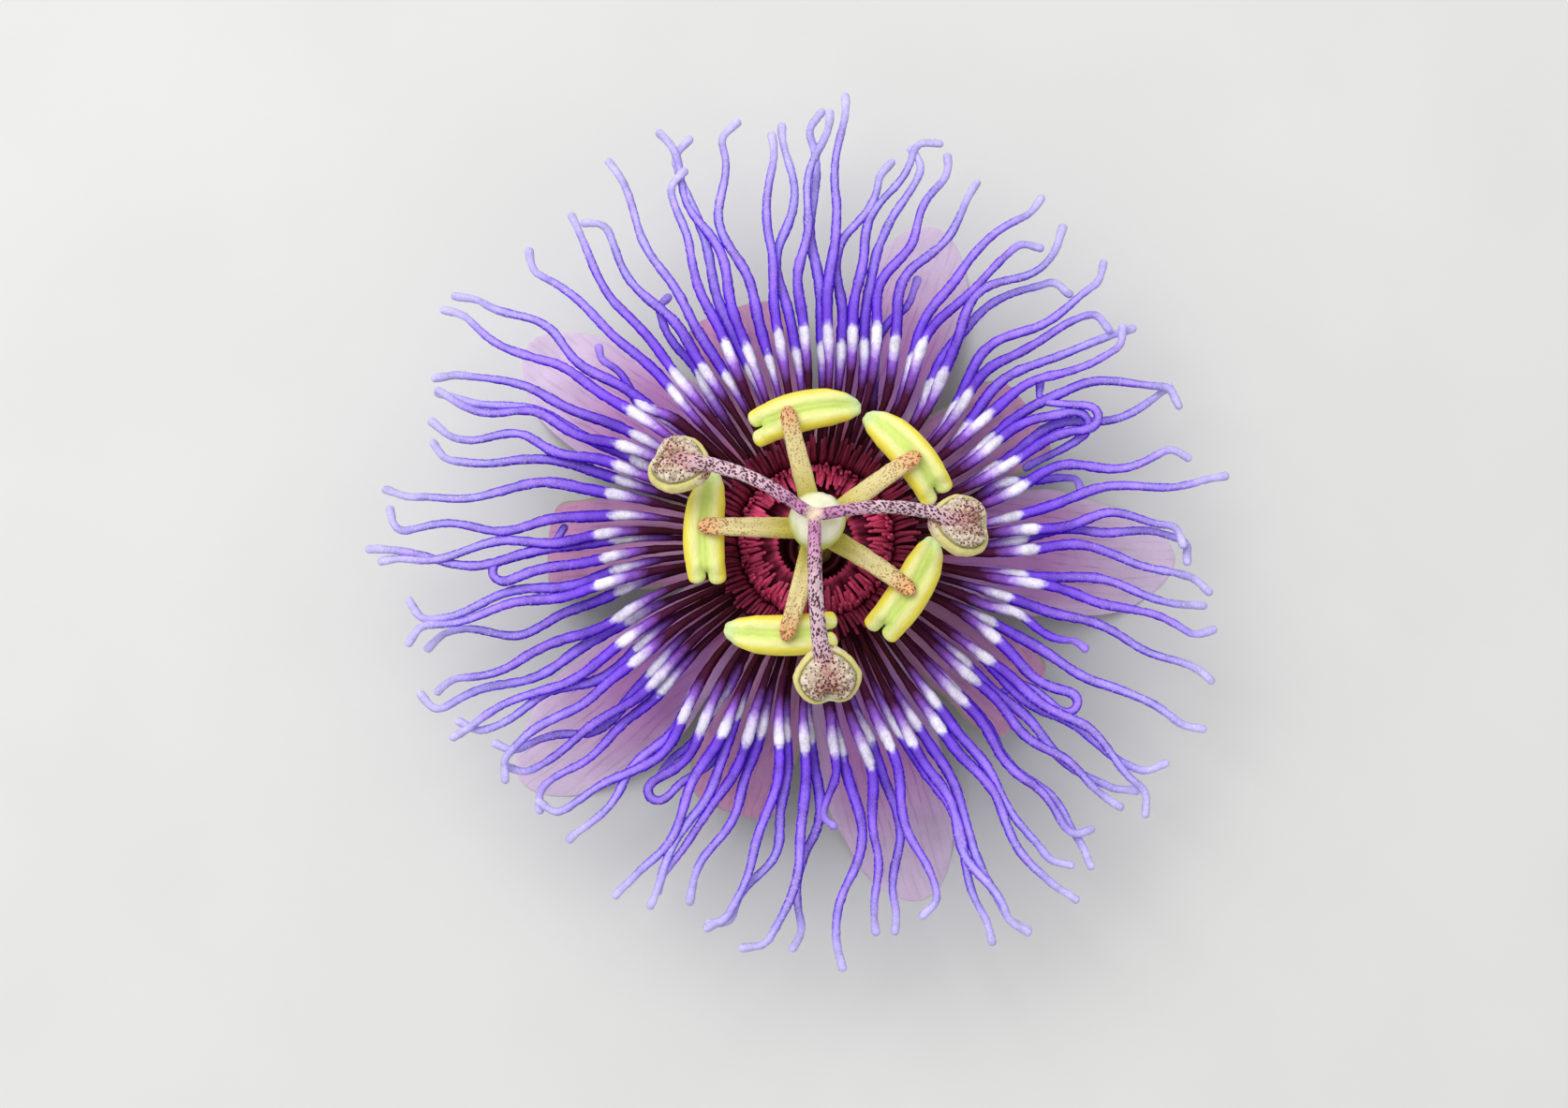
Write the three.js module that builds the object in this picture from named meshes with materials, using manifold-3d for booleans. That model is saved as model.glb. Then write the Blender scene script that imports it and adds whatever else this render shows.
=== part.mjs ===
// A picked passion flower that lies face up on the tips of its petals. Millimetres, +Z up.
// The flower's axis is vertical, and the surface that it rests on is z = 0.
import * as THREE from "three";
import { mergeVertices } from "three/addons/utils/BufferGeometryUtils.js";
import Module from "manifold-3d";

const wasm = await Module();
wasm.setup();

// ---- Driving dimensions ----
const GAP = 0.3; // clearance between neighbouring pieces
const WHORL = 5; // sepals, petals and stamens
const SEPAL_BEARING = 35; // degrees anticlockwise from +X to the first sepal and its stamen
const STEP_BEARING = 360 / WHORL;

const CUP_RADIUS = 11; // rim of the floral cup
const CUP_RIM_Z = 18.4;
const CUP_BASE_Z = 9;
const CUP_FLOOR_Z = 13;
const CUP_LEDGE_Z = 15.9; // step inside the cup that carries the operculum

const STALK_RADIUS = 1.6;
const STALK_CUT_Z = 1; // the nipped end hangs just clear of the surface
const BRACT_COUNT = 3;
const BRACT_Z = 7.2;

const TEPAL_THICKNESS = 0.8;
const PETAL_HALF_WIDTH = 8;
const PETAL_REACH = 46; // from the axis to the tip, on average
const SEPAL_HALF_WIDTH = 6.2;
const SEPAL_REACH = 33;
const HORN_LENGTH = 3;

const FILAMENTS_PER_SERIES = 48; // an upper and a lower series
const FIRST_FILAMENT = 3; // bearing in degrees
const PAIRING = 0.34; // share of the spacing by which the lower series lies off the upper
const FILAMENT_WIDTH = [0.95, 1.5, 1.1]; // at the root, just past the white band, and at the tip
const UPPER_ROOT = [11.3, 20.6]; // distance and height at which an upper filament starts
const LOWER_ROOT = [11.9, 19.3];
const CORONA_INNER = 10.4; // ring that the long filaments grow from
const CORONA_OUTER = 12.4;
const CORONA_BASE_Z = CUP_RIM_Z + GAP;
const CORONA_TOP_Z = 21.2;

const COLUMN_RADIUS = 1.5;
const COLUMN_HEAD_RADIUS = 2.4;
const COLUMN_TOP_Z = 32.4;
const STAMEN_Z = 31.4; // height at which the stamens leave the column
const STAMEN_REACH = 14;
const STAMEN_TIP_Z = 34.1;
const STRAP_HALF_WIDTH = [1.4, 1.05]; // at the column and at the anther
const STRAP_HALF_HEIGHT = [0.8, 0.55];
const ANTHER_LENGTH = 13.6;
const ANTHER_WIDTH = 5.4;
const ANTHER_DEPTH = 3;
const ANTHER_BOW = 0.7; // how far an anther's middle bows outwards
const ANTHER_INSET = 1.2; // from the strap's tip in to the anther's middle

const OVARY_BASE_Z = COLUMN_TOP_Z + GAP;
const OVARY_RADIUS = 3.4;
const OVARY_TOP_Z = 41.8;
const KNOB_RADIUS = 1.15; // where the three styles meet on the ovary
const KNOB_TOP_Z = 43.6;
const KNOB_SHIFT = -0.4; // the knob stands a little off the axis, along X
const STYLE_Z = 42.9;
const STYLE_RADIUS = [0.76, 1.05]; // at the knob and at the stigma
const STIGMA_Z = 38.6;
const STIGMA_OUTER = 4; // from the stigma's middle to its outer end
const STIGMA_INNER = 3.7; // and to where its style joins
const STIGMA_HALF_WIDTH = 3.8;
const STIGMA_HALF_DEPTH = 2.1;
const STIGMA_TILT = 22; // degrees that a stigma tips down outwards

const TAU = 2 * Math.PI;
const radians = THREE.MathUtils.degToRad;
const smooth = (x, low, high) => THREE.MathUtils.smoothstep(x, low, high);
const mix = THREE.MathUtils.lerp;

// ---- Colours, roughness and metalness, from the photograph ----
const finish = (color, roughness) => new THREE.MeshStandardMaterial({ color, roughness, metalness: 0 });
const MATERIALS = {
  stalk: finish(0x7f9a45, 0.6),
  sepal: finish(0xb79cc4, 0.6),
  petal: finish(0xcdb0d2, 0.6),
  corona: finish(0x6f48dc, 0.55),
  innerCorona: finish(0x5e1234, 0.5),
  column: finish(0xc7bf6c, 0.5),
  anther: finish(0xe2e04a, 0.55),
  ovary: finish(0xe4edb6, 0.4),
  style: finish(0xb98fb4, 0.5),
  stigma: finish(0xc9b78a, 0.65),
};

// ---- Seeded draws: a linear congruential generator, from 0 to 1 ----
function drawsFrom(seed) {
  let state = seed;
  return () => {
    state = (Math.imul(state, 1664525) + 1013904223) >>> 0;
    return state / 4294967296;
  };
}

// ---- Solids ----
// A closed surface through rings of points, each ring with the same number of them.
function loft(rings) {
  const sides = rings[0].length;
  const points = rings.flat();
  const faces = [];
  for (let ring = 0; ring + 1 < rings.length; ring++) {
    for (let side = 0; side < sides; side++) {
      const next = (side + 1) % sides;
      const a = ring * sides + side;
      const b = ring * sides + next;
      faces.push(a, b, b + sides, a, b + sides, a + sides);
    }
  }
  const last = (rings.length - 1) * sides;
  for (let side = 1; side + 1 < sides; side++) {
    faces.push(0, side + 1, side);
    faces.push(last, last + side, last + side + 1);
  }
  return surface(points, faces);
}

function surface(points, faces) {
  const geometry = new THREE.BufferGeometry().setFromPoints(points);
  geometry.setIndex(faces);
  return geometry;
}

// A tube along points. size(share, index) gives its half width and half height at a point.
function tube(points, sides, size) {
  const up = new THREE.Vector3(0, 0, 1);
  const rings = points.map((point, index) => {
    const before = points[Math.max(index - 1, 0)];
    const after = points[Math.min(index + 1, points.length - 1)];
    const along = after.clone().sub(before).normalize();
    const across = new THREE.Vector3().crossVectors(up, along).normalize();
    const above = new THREE.Vector3().crossVectors(along, across);
    const [halfWidth, halfHeight] = size(index / (points.length - 1), index);
    return Array.from({ length: sides }, (_, side) => {
      const turn = TAU * ((side + 0.5) / sides - 0.25);
      return point
        .clone()
        .addScaledVector(across, halfWidth * Math.cos(turn))
        .addScaledVector(above, halfHeight * Math.sin(turn));
    });
  });
  return loft(rings);
}

// A thin blade: place(along, across, face) gives its points, along from 0 to 1, across from -1 to 1,
// and face 1 above and -1 below. Both faces are split into triangles alike.
function blade(lengthSteps, widthSteps, place) {
  const row = widthSteps + 1;
  const faceSize = row * (lengthSteps + 1);
  const points = [];
  for (const face of [1, -1]) {
    for (let i = 0; i <= lengthSteps; i++) {
      for (let j = 0; j <= widthSteps; j++) {
        points.push(place(i / lengthSteps, (2 * j) / widthSteps - 1, face));
      }
    }
  }
  const faces = [];
  for (let i = 0; i < lengthSteps; i++) {
    for (let j = 0; j < widthSteps; j++) {
      const a = i * row + j;
      const b = a + row;
      faces.push(a, b, b + 1, a, b + 1, a + 1);
      faces.push(a + faceSize, b + 1 + faceSize, b + faceSize);
      faces.push(a + faceSize, a + 1 + faceSize, b + 1 + faceSize);
    }
  }
  const rim = [];
  for (let j = 0; j < widthSteps; j++) rim.push(j);
  for (let i = 0; i < lengthSteps; i++) rim.push(i * row + widthSteps);
  for (let j = widthSteps; j > 0; j--) rim.push(lengthSteps * row + j);
  for (let i = lengthSteps; i > 0; i--) rim.push(i * row);
  rim.forEach((here, index) => {
    const next = rim[(index + 1) % rim.length];
    faces.push(here, next, next + faceSize, here, next + faceSize, here + faceSize);
  });
  return surface(points, faces);
}

// A lathe about +Z from [radius, height] pairs.
function turned(profile, segments) {
  const points = profile.map(([radius, height]) => new THREE.Vector2(radius, height));
  return new THREE.LatheGeometry(points, segments).rotateX(Math.PI / 2);
}

const WELD = 1e-3; // vertices closer than this become one

function solidOf(geometry) {
  const bare = geometry.clone();
  bare.deleteAttribute("normal");
  bare.deleteAttribute("uv");
  const merged = mergeVertices(bare, 1e-4);
  return new wasm.Manifold(
    new wasm.Mesh({
      numProp: 3,
      vertProperties: merged.attributes.position.array,
      triVerts: new Uint32Array(merged.index.array),
      tolerance: WELD,
    }),
  );
}

function geometryOf(solid) {
  const mesh = solid.getMesh();
  const geometry = new THREE.BufferGeometry();
  geometry.setAttribute("position", new THREE.BufferAttribute(mesh.vertProperties, 3));
  geometry.setIndex(new THREE.BufferAttribute(mesh.triVerts, 1));
  return geometry;
}

const fused = (geometries) => geometryOf(wasm.Manifold.union(geometries.map(solidOf)));

// The point at a distance and a bearing from the flower's axis, moved sideways and at a height.
function around(bearing, distance, sideways, height) {
  const cos = Math.cos(bearing);
  const sin = Math.sin(bearing);
  return new THREE.Vector3(distance * cos - sideways * sin, distance * sin + sideways * cos, height);
}

// ---- The flower, from the stalk up ----
const flower = new THREE.Group();

function add(name, geometry, material) {
  const mesh = new THREE.Mesh(geometry, material);
  mesh.name = name;
  flower.add(mesh);
  return mesh;
}

function stalk() {
  const profile = [
    [0, STALK_CUT_Z],
    [STALK_RADIUS * 0.9, STALK_CUT_Z],
    [STALK_RADIUS * 0.9, BRACT_Z - 1.5],
    [STALK_RADIUS, CUP_BASE_Z - GAP],
    [0, CUP_BASE_Z - GAP],
  ];
  add("stalk", turned(profile, 10), MATERIALS.stalk);
}

function bracts() {
  const length = 7;
  const halfWidth = 2.6;
  const thickness = 0.7;
  for (let k = 0; k < BRACT_COUNT; k++) {
    const bearing = radians(SEPAL_BEARING + 20 + (360 / BRACT_COUNT) * k);
    const place = (along, across, face) => {
      const distance = STALK_RADIUS + GAP + length * along;
      const width = halfWidth * (0.35 + 0.65 * Math.sin(Math.PI * Math.min(along * 1.1 + 0.12, 0.92)));
      const height = BRACT_Z - 1.6 * Math.sin(Math.PI * along) + 2.1 * along + 0.5 * across * across;
      return around(bearing, distance, across * width, height + (face * thickness) / 2);
    };
    add(`bract_${k + 1}`, blade(6, 4, place), MATERIALS.stalk);
  }
}

function floralCup() {
  const profile = [
    [0, CUP_BASE_Z],
    [3.2, CUP_BASE_Z],
    [6.6, CUP_BASE_Z + 1.5],
    [9.6, CUP_BASE_Z + 4],
    [CUP_RADIUS, CUP_BASE_Z + 6.6],
    [CUP_RADIUS, CUP_RIM_Z],
    [8, CUP_RIM_Z],
    [8, CUP_LEDGE_Z],
    [6.4, CUP_LEDGE_Z],
    [5, CUP_FLOOR_Z],
    [3.7, CUP_FLOOR_Z],
    [3.5, CUP_FLOOR_Z + 1.9],
    [2.7, CUP_FLOOR_Z + 1.9],
    [2.6, CUP_FLOOR_Z],
    [0, CUP_FLOOR_Z],
  ];
  add("floral_cup", turned(profile, 20), MATERIALS.stalk);
}

// A petal or sepal. It runs out from the cup's rim on one curve and droops to the surface.
const TIP_FROM = 0.6; // share of the length where its outline starts to round off
const EDGE_ROLL = 0.9; // how far its edges roll down

function tepal(bearing, curve, halfWidth, shape) {
  const { baseShare, ripple, ripplePhase } = shape;
  const place = (along, across, face) => {
    const middle = curve.getPoint(along);
    const heading = curve.getTangent(along);
    const widening = mix(baseShare, 1, smooth(along, 0, 0.5));
    const pastTip = Math.max(along - TIP_FROM, 0) / (1 - TIP_FROM);
    const rounding = Math.sqrt(Math.max(1 - pastTip ** 2, 0.02));
    const flat = 1 - smooth(along, 0.62, 0.82);
    const edge = across * across;
    const wave = ripple * edge * Math.sin(TAU * (1.6 * along + ripplePhase) + across);
    const roll = (wave * smooth(along, 0.1, 0.3) - EDGE_ROLL * edge * smooth(along, 0, 0.35)) * flat;
    const offset = (face * TEPAL_THICKNESS) / 2 + roll;
    const distance = middle.x - heading.y * offset;
    const height = Math.max(middle.y + heading.x * offset, face > 0 ? TEPAL_THICKNESS * 0.8 : 0);
    const angle = bearing + (across * halfWidth * widening * rounding) / distance;
    return around(angle, distance, 0, height);
  };
  return blade(10, 4, place);
}

function petals() {
  const draw = drawsFrom(71);
  for (let k = 0; k < WHORL; k++) {
    const bearing = radians(SEPAL_BEARING + STEP_BEARING * (k + 0.5) + 4 * (draw() - 0.5));
    const reach = PETAL_REACH + 2.4 * (draw() - 0.5);
    const curve = new THREE.CubicBezierCurve(
      new THREE.Vector2(CUP_RADIUS + GAP, CUP_RIM_Z - 0.9),
      new THREE.Vector2(25, CUP_RIM_Z + 1),
      new THREE.Vector2(reach - 14, -1.6),
      new THREE.Vector2(reach, 0.1),
    );
    const shape = { baseShare: 0.5, ripple: 0.55, ripplePhase: draw() };
    add(`petal_${k + 1}`, tepal(bearing, curve, PETAL_HALF_WIDTH, shape), MATERIALS.petal);
  }
}

function sepals() {
  const draw = drawsFrom(35);
  for (let k = 0; k < WHORL; k++) {
    const bearing = radians(SEPAL_BEARING + STEP_BEARING * k + 4 * (draw() - 0.5));
    const reach = SEPAL_REACH + 2 * (draw() - 0.5);
    const curve = new THREE.CubicBezierCurve(
      new THREE.Vector2(CUP_RADIUS + GAP, CUP_RIM_Z - 2.9),
      new THREE.Vector2(26, CUP_RIM_Z - 0.4),
      new THREE.Vector2(reach + 1.5, 11),
      new THREE.Vector2(reach, 2.2),
    );
    const shape = { baseShare: 0.68, ripple: 0.35, ripplePhase: draw() };
    const leaf = tepal(bearing, curve, SEPAL_HALF_WIDTH, shape);
    const root = curve.getPoint(0.86);
    const horn = tube(
      [
        around(bearing, root.x - 0.2, 0, root.y),
        around(bearing, root.x - 1.2, 0, root.y - 0.8),
        around(bearing, root.x - HORN_LENGTH * 0.75, 0, root.y - HORN_LENGTH * 0.8),
      ],
      4,
      (share) => [mix(0.65, 0.2, share), mix(0.65, 0.2, share)],
    );
    add(`sepal_${k + 1}`, fused([leaf, horn]), MATERIALS.sepal);
  }
}

// How the fringe lies round the flower, at every 30 degrees anticlockwise from +X: how far its
// tips reach, how strongly its filaments bow anticlockwise, and how far they lean (in radians).
const REACHES = [49.5, 49.5, 50.5, 54, 53, 52.5, 53.5, 51.5, 48.5, 51, 52.5, 51.5];
const BOWS = [0.1, 0.3, 0.36, 0.12, 0, -0.06, 0.05, 0.22, 0.22, 0.24, 0.06, -0.1];
const LEANS = [0.08, -0.04, 0, -0.02, -0.02, 0.12, 0.2, 0, -0.1, -0.08, 0, -0.1];
const FOLDED_BEARINGS = [18, 25.5, 186, 236, 331]; // where a filament folds back on itself
const STUNTED_BEARINGS = [14, 67, 126, 138, 173, 239, 273, 339]; // where one is much shorter

function roundTheRim(values, bearing) {
  const place = (((bearing / TAU) % 1) + 1) * values.length;
  const index = Math.floor(place);
  const [here, next] = [values[index % values.length], values[(index + 1) % values.length]];
  return mix(here, next, smooth(place - index, 0, 1));
}

const isAt = (bearings, bearing, tolerance) =>
  bearings.some((degrees) => Math.abs(radians(degrees) - bearing) < tolerance);

// The centre line of one long filament, walked in small steps. It runs straight out to the white
// band, and then bows and waves.
const WALK_STEPS = 60;

function filamentPath(series, index, draw) {
  const upper = series === 0;
  const pitchAngle = TAU / FILAMENTS_PER_SERIES;
  const bearing = radians(FIRST_FILAMENT) + pitchAngle * (index + PAIRING * series + 0.36 * (draw() - 0.5));
  const folded = upper && isAt(FOLDED_BEARINGS, bearing, pitchAngle / 2);
  const stunted = !folded && isAt(STUNTED_BEARINGS, bearing, pitchAngle / 4);
  const [root, rootHeight] = upper ? UPPER_ROOT : LOWER_ROOT;
  const length = (roundTheRim(REACHES, bearing) - root) * (stunted ? 0.62 : 0.93 + 0.14 * draw());
  const bow = roundTheRim(BOWS, bearing) + 0.16 * (draw() - 0.5);
  const lean = roundTheRim(LEANS, bearing) + 0.14 * (draw() - 0.5);
  const wave = 0.12 + 0.22 * draw();
  const waves = 2.1 + 1.1 * draw();
  const phase = draw();
  const bob = 0.08 + 0.1 * draw();
  const bobPhase = draw();
  const rise = 0.06 * (draw() - 0.5);
  const hook = 2.6 * (draw() - 0.62);
  const fold = folded ? (draw() < 0.5 ? 2.95 : -2.95) : 0;
  const bend = 0.45 * (draw() - 0.5);

  const step = length / WALK_STEPS;
  let out = root;
  let side = 0;
  let height = rootHeight;
  const points = [around(bearing, out, side, height)];
  for (let i = 0; i < WALK_STEPS; i++) {
    const share = (i + 0.5) / WALK_STEPS;
    const free = smooth(share, 0.28, 0.6);
    const heading =
      lean * smooth(share, 0.1, 0.5) +
      bow * Math.sin(TAU * Math.max((share - 0.15) / 0.85, 0)) +
      wave * free * Math.sin(TAU * (waves * share + phase)) +
      bend * smooth(share, 0.66, 0.72) +
      hook * smooth(share, 0.9, 0.97) +
      fold * smooth(share, 0.64, 0.8);
    const slope = upper ? mix(0.08, -0.07, smooth(share, 0.1, 0.7)) : mix(0.04, -0.06, smooth(share, 0.2, 0.8));
    const pitch = slope + rise + bob * free * Math.sin(TAU * (1.9 * share + bobPhase));
    out += step * Math.cos(heading) * Math.cos(pitch);
    side += step * Math.sin(heading) * Math.cos(pitch);
    height += step * Math.sin(pitch);
    points.push(around(bearing, out, side, height));
  }
  return points;
}

// Few steps where a filament is straight, and more where it waves.
const FILAMENT_STATIONS = [0, 20, 30, 37, 43, 48, 52, 56, 60];

// A three-sided filament as wide as the real round one.
function filamentSize(_, station) {
  const share = FILAMENT_STATIONS[station] / WALK_STEPS;
  const [root, band, tip] = FILAMENT_WIDTH;
  const width = share < 0.35 ? mix(root, band, smooth(share, 0.1, 0.35)) : mix(band, tip, smooth(share, 0.35, 1));
  return [width / Math.sqrt(3), width / Math.sqrt(3)];
}

function corona() {
  const ringProfile = [
    [CORONA_INNER, CORONA_BASE_Z],
    [CORONA_OUTER, CORONA_BASE_Z],
    [CORONA_OUTER, CORONA_TOP_Z - 0.6],
    [CORONA_OUTER - 0.6, CORONA_TOP_Z],
    [CORONA_INNER, CORONA_TOP_Z],
    [CORONA_INNER, CORONA_BASE_Z],
  ];
  const draw = drawsFrom(2026);
  const pieces = [turned(ringProfile, 24)];
  for (let series = 0; series < 2; series++) {
    for (let index = 0; index < FILAMENTS_PER_SERIES; index++) {
      const walked = filamentPath(series, index, draw);
      const points = FILAMENT_STATIONS.map((station) => walked[station]);
      pieces.push(tube(points, 3, filamentSize));
    }
  }
  add("corona_filaments", fused(pieces), MATERIALS.corona);
}

function innerCorona() {
  const inner = 8.2;
  const outer = CORONA_INNER - GAP;
  const top = CORONA_BASE_Z + 1;
  const pieces = [
    turned(
      [
        [inner, CORONA_BASE_Z],
        [outer, CORONA_BASE_Z],
        [outer, top],
        [inner, top],
        [inner, CORONA_BASE_Z],
      ],
      24,
    ),
  ];
  const draw = drawsFrom(9);
  const rows = [
    { count: 26, route: [[9.6, 19], [10.1, 22.3], [12.4, 23.8]] },
    { count: 22, route: [[8.6, 19], [8.5, 21], [7.6, 22.3]] },
  ];
  for (const { count, route } of rows) {
    for (let k = 0; k < count; k++) {
      const bearing = (TAU * (k + 0.5 * (draw() - 0.5))) / count;
      const stretch = 0.85 + 0.3 * draw();
      const points = route.map(([distance, height], station) => {
        const share = station / 2;
        const rise = mix(1, stretch, share);
        return around(bearing, distance, 0.6 * share * (draw() - 0.5), 18.9 + (height - 18.9) * rise);
      });
      pieces.push(tube(points, 3, (share) => [mix(0.55, 0.36, share), mix(0.55, 0.36, share)]));
    }
  }
  add("inner_corona", fused(pieces), MATERIALS.innerCorona);
}

// The pleated collar that closes the nectar chamber.
function operculum() {
  const outer = 8 - GAP;
  const base = CUP_LEDGE_Z + GAP;
  const pleats = 16;
  const profile = [
    [6.7, base],
    [outer, base],
    [outer - 0.2, base + 1],
    [5.9, base + 2.5],
    [4.6, base + 2.9],
    [4.6, base + 2.2],
    [5.6, base + 1.7],
    [6.7, base],
  ];
  const geometry = turned(profile, pleats * 2);
  const position = geometry.attributes.position;
  for (let i = 0; i < position.count; i++) {
    const x = position.getX(i);
    const y = position.getY(i);
    const ridge = 0.16 * Math.cos(pleats * Math.atan2(y, x));
    const lift = smooth(position.getZ(i), base, base + 2);
    position.setZ(i, position.getZ(i) + ridge * lift);
  }
  add("operculum", geometry, MATERIALS.innerCorona);
}

function column() {
  const profile = [
    [0, CUP_FLOOR_Z + GAP],
    [2.2, CUP_FLOOR_Z + GAP],
    [2.1, CUP_FLOOR_Z + 1.6],
    [COLUMN_RADIUS, CUP_FLOOR_Z + 4],
    [COLUMN_RADIUS, COLUMN_TOP_Z - 3.5],
    [COLUMN_HEAD_RADIUS - 0.1, COLUMN_TOP_Z - 1.8],
    [COLUMN_HEAD_RADIUS, COLUMN_TOP_Z],
    [0, COLUMN_TOP_Z],
  ];
  add("androgynophore", turned(profile, 14), MATERIALS.column);
}

// Each stamen: bearing in degrees, reach beyond the mean, how far round the anther is slung,
// its turn from square, and the end (1 or -1) where its two lobes part.
const STAMENS = [
  { bearing: 34.8, extra: 0.9, slung: 1.4, turn: 6, parted: -1 },
  { bearing: 104, extra: 0.65, slung: -2.1, turn: -1, parted: 1 },
  { bearing: 180.5, extra: 0, slung: -0.3, turn: -3, parted: 1 },
  { bearing: 254.5, extra: 0.2, slung: -0.9, turn: 16, parted: 1 },
  { bearing: 324.8, extra: 0.05, slung: 0.6, turn: 4, parted: -1 },
];

function stamenFilament(stamen) {
  const bearing = radians(stamen.bearing);
  const reach = STAMEN_REACH + stamen.extra;
  const start = COLUMN_HEAD_RADIUS + GAP;
  const curve = new THREE.CubicBezierCurve(
    new THREE.Vector2(start, STAMEN_Z),
    new THREE.Vector2(mix(start, reach, 0.4), STAMEN_Z + 2.6),
    new THREE.Vector2(mix(start, reach, 0.7), STAMEN_TIP_Z + 0.3),
    new THREE.Vector2(reach, STAMEN_TIP_Z),
  );
  const points = curve.getPoints(7).map((p) => around(bearing, p.x, 0, p.y));
  return tube(points, 8, (share) => {
    const end = share > 0.99 ? 0.55 : 1;
    return [mix(...STRAP_HALF_WIDTH, share) * end, mix(...STRAP_HALF_HEIGHT, share) * end];
  });
}

// The outline of an anther's section: two round lobes with a shallow groove above and below.
function antherSection(turn) {
  const across = Math.cos(turn);
  const above = Math.sin(turn);
  const groove = 1 - 0.3 * Math.abs(above) ** 6;
  return [(ANTHER_WIDTH / 2) * across, (ANTHER_DEPTH / 2) * above * groove];
}

// How full an anther is from its closed end (-1), which is the slimmer, to its parted end (1).
const ANTHER_FULLNESS = [
  [-1, 0.42],
  [-0.92, 0.66],
  [-0.72, 0.88],
  [-0.4, 1],
  [0, 1],
  [0.4, 1],
  [0.78, 0.96],
  [0.94, 0.82],
  [1, 0.6],
];
const CLEFT_LENGTH = 2.4;

// One anther along +X, with its upper face at z = 0 and a cleft at the +X end. side is 1 where its
// middle bows towards +Y, and -1 where it bows the other way.
function antherShape(side) {
  const sides = 10;
  const half = ANTHER_LENGTH / 2;
  const rings = ANTHER_FULLNESS.map(([towardsTip, fullness]) =>
    Array.from({ length: sides }, (_, corner) => {
      const [across, above] = antherSection(TAU * ((corner + 0.5) / sides));
      const bow = side * ANTHER_BOW * (1 - towardsTip ** 2);
      const droop = -1.1 * towardsTip ** 2;
      const height = above * fullness - ANTHER_DEPTH / 2 + droop;
      return new THREE.Vector3(half * towardsTip, across * fullness + bow, height);
    }),
  );
  const outline = new THREE.Shape([
    new THREE.Vector2(half - CLEFT_LENGTH, 0.25 * side),
    new THREE.Vector2(half + 1, -0.45),
    new THREE.Vector2(half + 1, 0.45),
  ]);
  const cleft = new THREE.ExtrudeGeometry(outline, { depth: 12, bevelEnabled: false });
  cleft.translate(0, 0, -8);
  return geometryOf(solidOf(loft(rings)).subtract(solidOf(cleft)));
}

function stamens() {
  STAMENS.forEach((stamen, k) => {
    add(`stamen_filament_${k + 1}`, stamenFilament(stamen), MATERIALS.column);
    const mesh = add(`anther_${k + 1}`, antherShape(-stamen.parted), MATERIALS.anther);
    const bearing = radians(stamen.bearing);
    const distance = STAMEN_REACH + stamen.extra - ANTHER_INSET;
    mesh.position.copy(around(bearing, distance, stamen.slung, STAMEN_TIP_Z - STRAP_HALF_HEIGHT[1] - GAP));
    const endOn = stamen.parted > 0 ? 90 : -90;
    mesh.rotation.z = radians(stamen.bearing + endOn + stamen.turn);
  });
}

function ovary() {
  const middle = mix(OVARY_BASE_Z, OVARY_TOP_Z, 0.52);
  const profile = [
    [0, OVARY_BASE_Z],
    [1.9, OVARY_BASE_Z],
    [2.7, OVARY_BASE_Z + 1.2],
    [3.25, mix(OVARY_BASE_Z, middle, 0.6)],
    [OVARY_RADIUS, middle],
    [3.3, mix(middle, OVARY_TOP_Z, 0.35)],
    [2.8, mix(middle, OVARY_TOP_Z, 0.68)],
    [1.9, mix(middle, OVARY_TOP_Z, 0.92)],
    [KNOB_RADIUS, OVARY_TOP_Z + 0.1],
    [KNOB_RADIUS, KNOB_TOP_Z - 0.4],
    [0.7, KNOB_TOP_Z],
    [0, KNOB_TOP_Z],
  ];
  const geometry = turned(profile, 14);
  const position = geometry.attributes.position;
  for (let i = 0; i < position.count; i++) {
    const shift = KNOB_SHIFT * smooth(position.getZ(i), OVARY_TOP_Z - 1.5, OVARY_TOP_Z);
    position.setX(i, position.getX(i) + shift);
  }
  add("ovary", geometry, MATERIALS.ovary);
}

// Each style: bearing in degrees, how far out its stigma sits, how far it sways sideways, and how
// broad its stigma is.
const STYLES = [
  { bearing: 158, reach: 17.2, sway: -1.2, breadth: 0.92 },
  { bearing: 273.7, reach: 18.5, sway: -0.7, breadth: 1.08 },
  { bearing: 357.8, reach: 16.6, sway: 1.2, breadth: 0.97 },
];

function style(bearing, reach, sway) {
  const end = reach - STIGMA_INNER - GAP;
  const curve = new THREE.CubicBezierCurve(
    new THREE.Vector2(KNOB_RADIUS + GAP, STYLE_Z),
    new THREE.Vector2(mix(KNOB_RADIUS, end, 0.35), STYLE_Z + 1.7),
    new THREE.Vector2(mix(KNOB_RADIUS, end, 0.75), STYLE_Z + 0.4),
    new THREE.Vector2(end, STIGMA_Z + 1.9),
  );
  const points = curve.getPoints(8).map((p, step) => {
    const share = step / 8;
    const point = around(bearing, p.x, sway * Math.sin(0.62 * Math.PI * share), p.y);
    point.x += KNOB_SHIFT * (1 - share);
    return point;
  });
  return tube(points, 6, (share) => [mix(...STYLE_RADIUS, share), mix(...STYLE_RADIUS, share)]);
}

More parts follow.
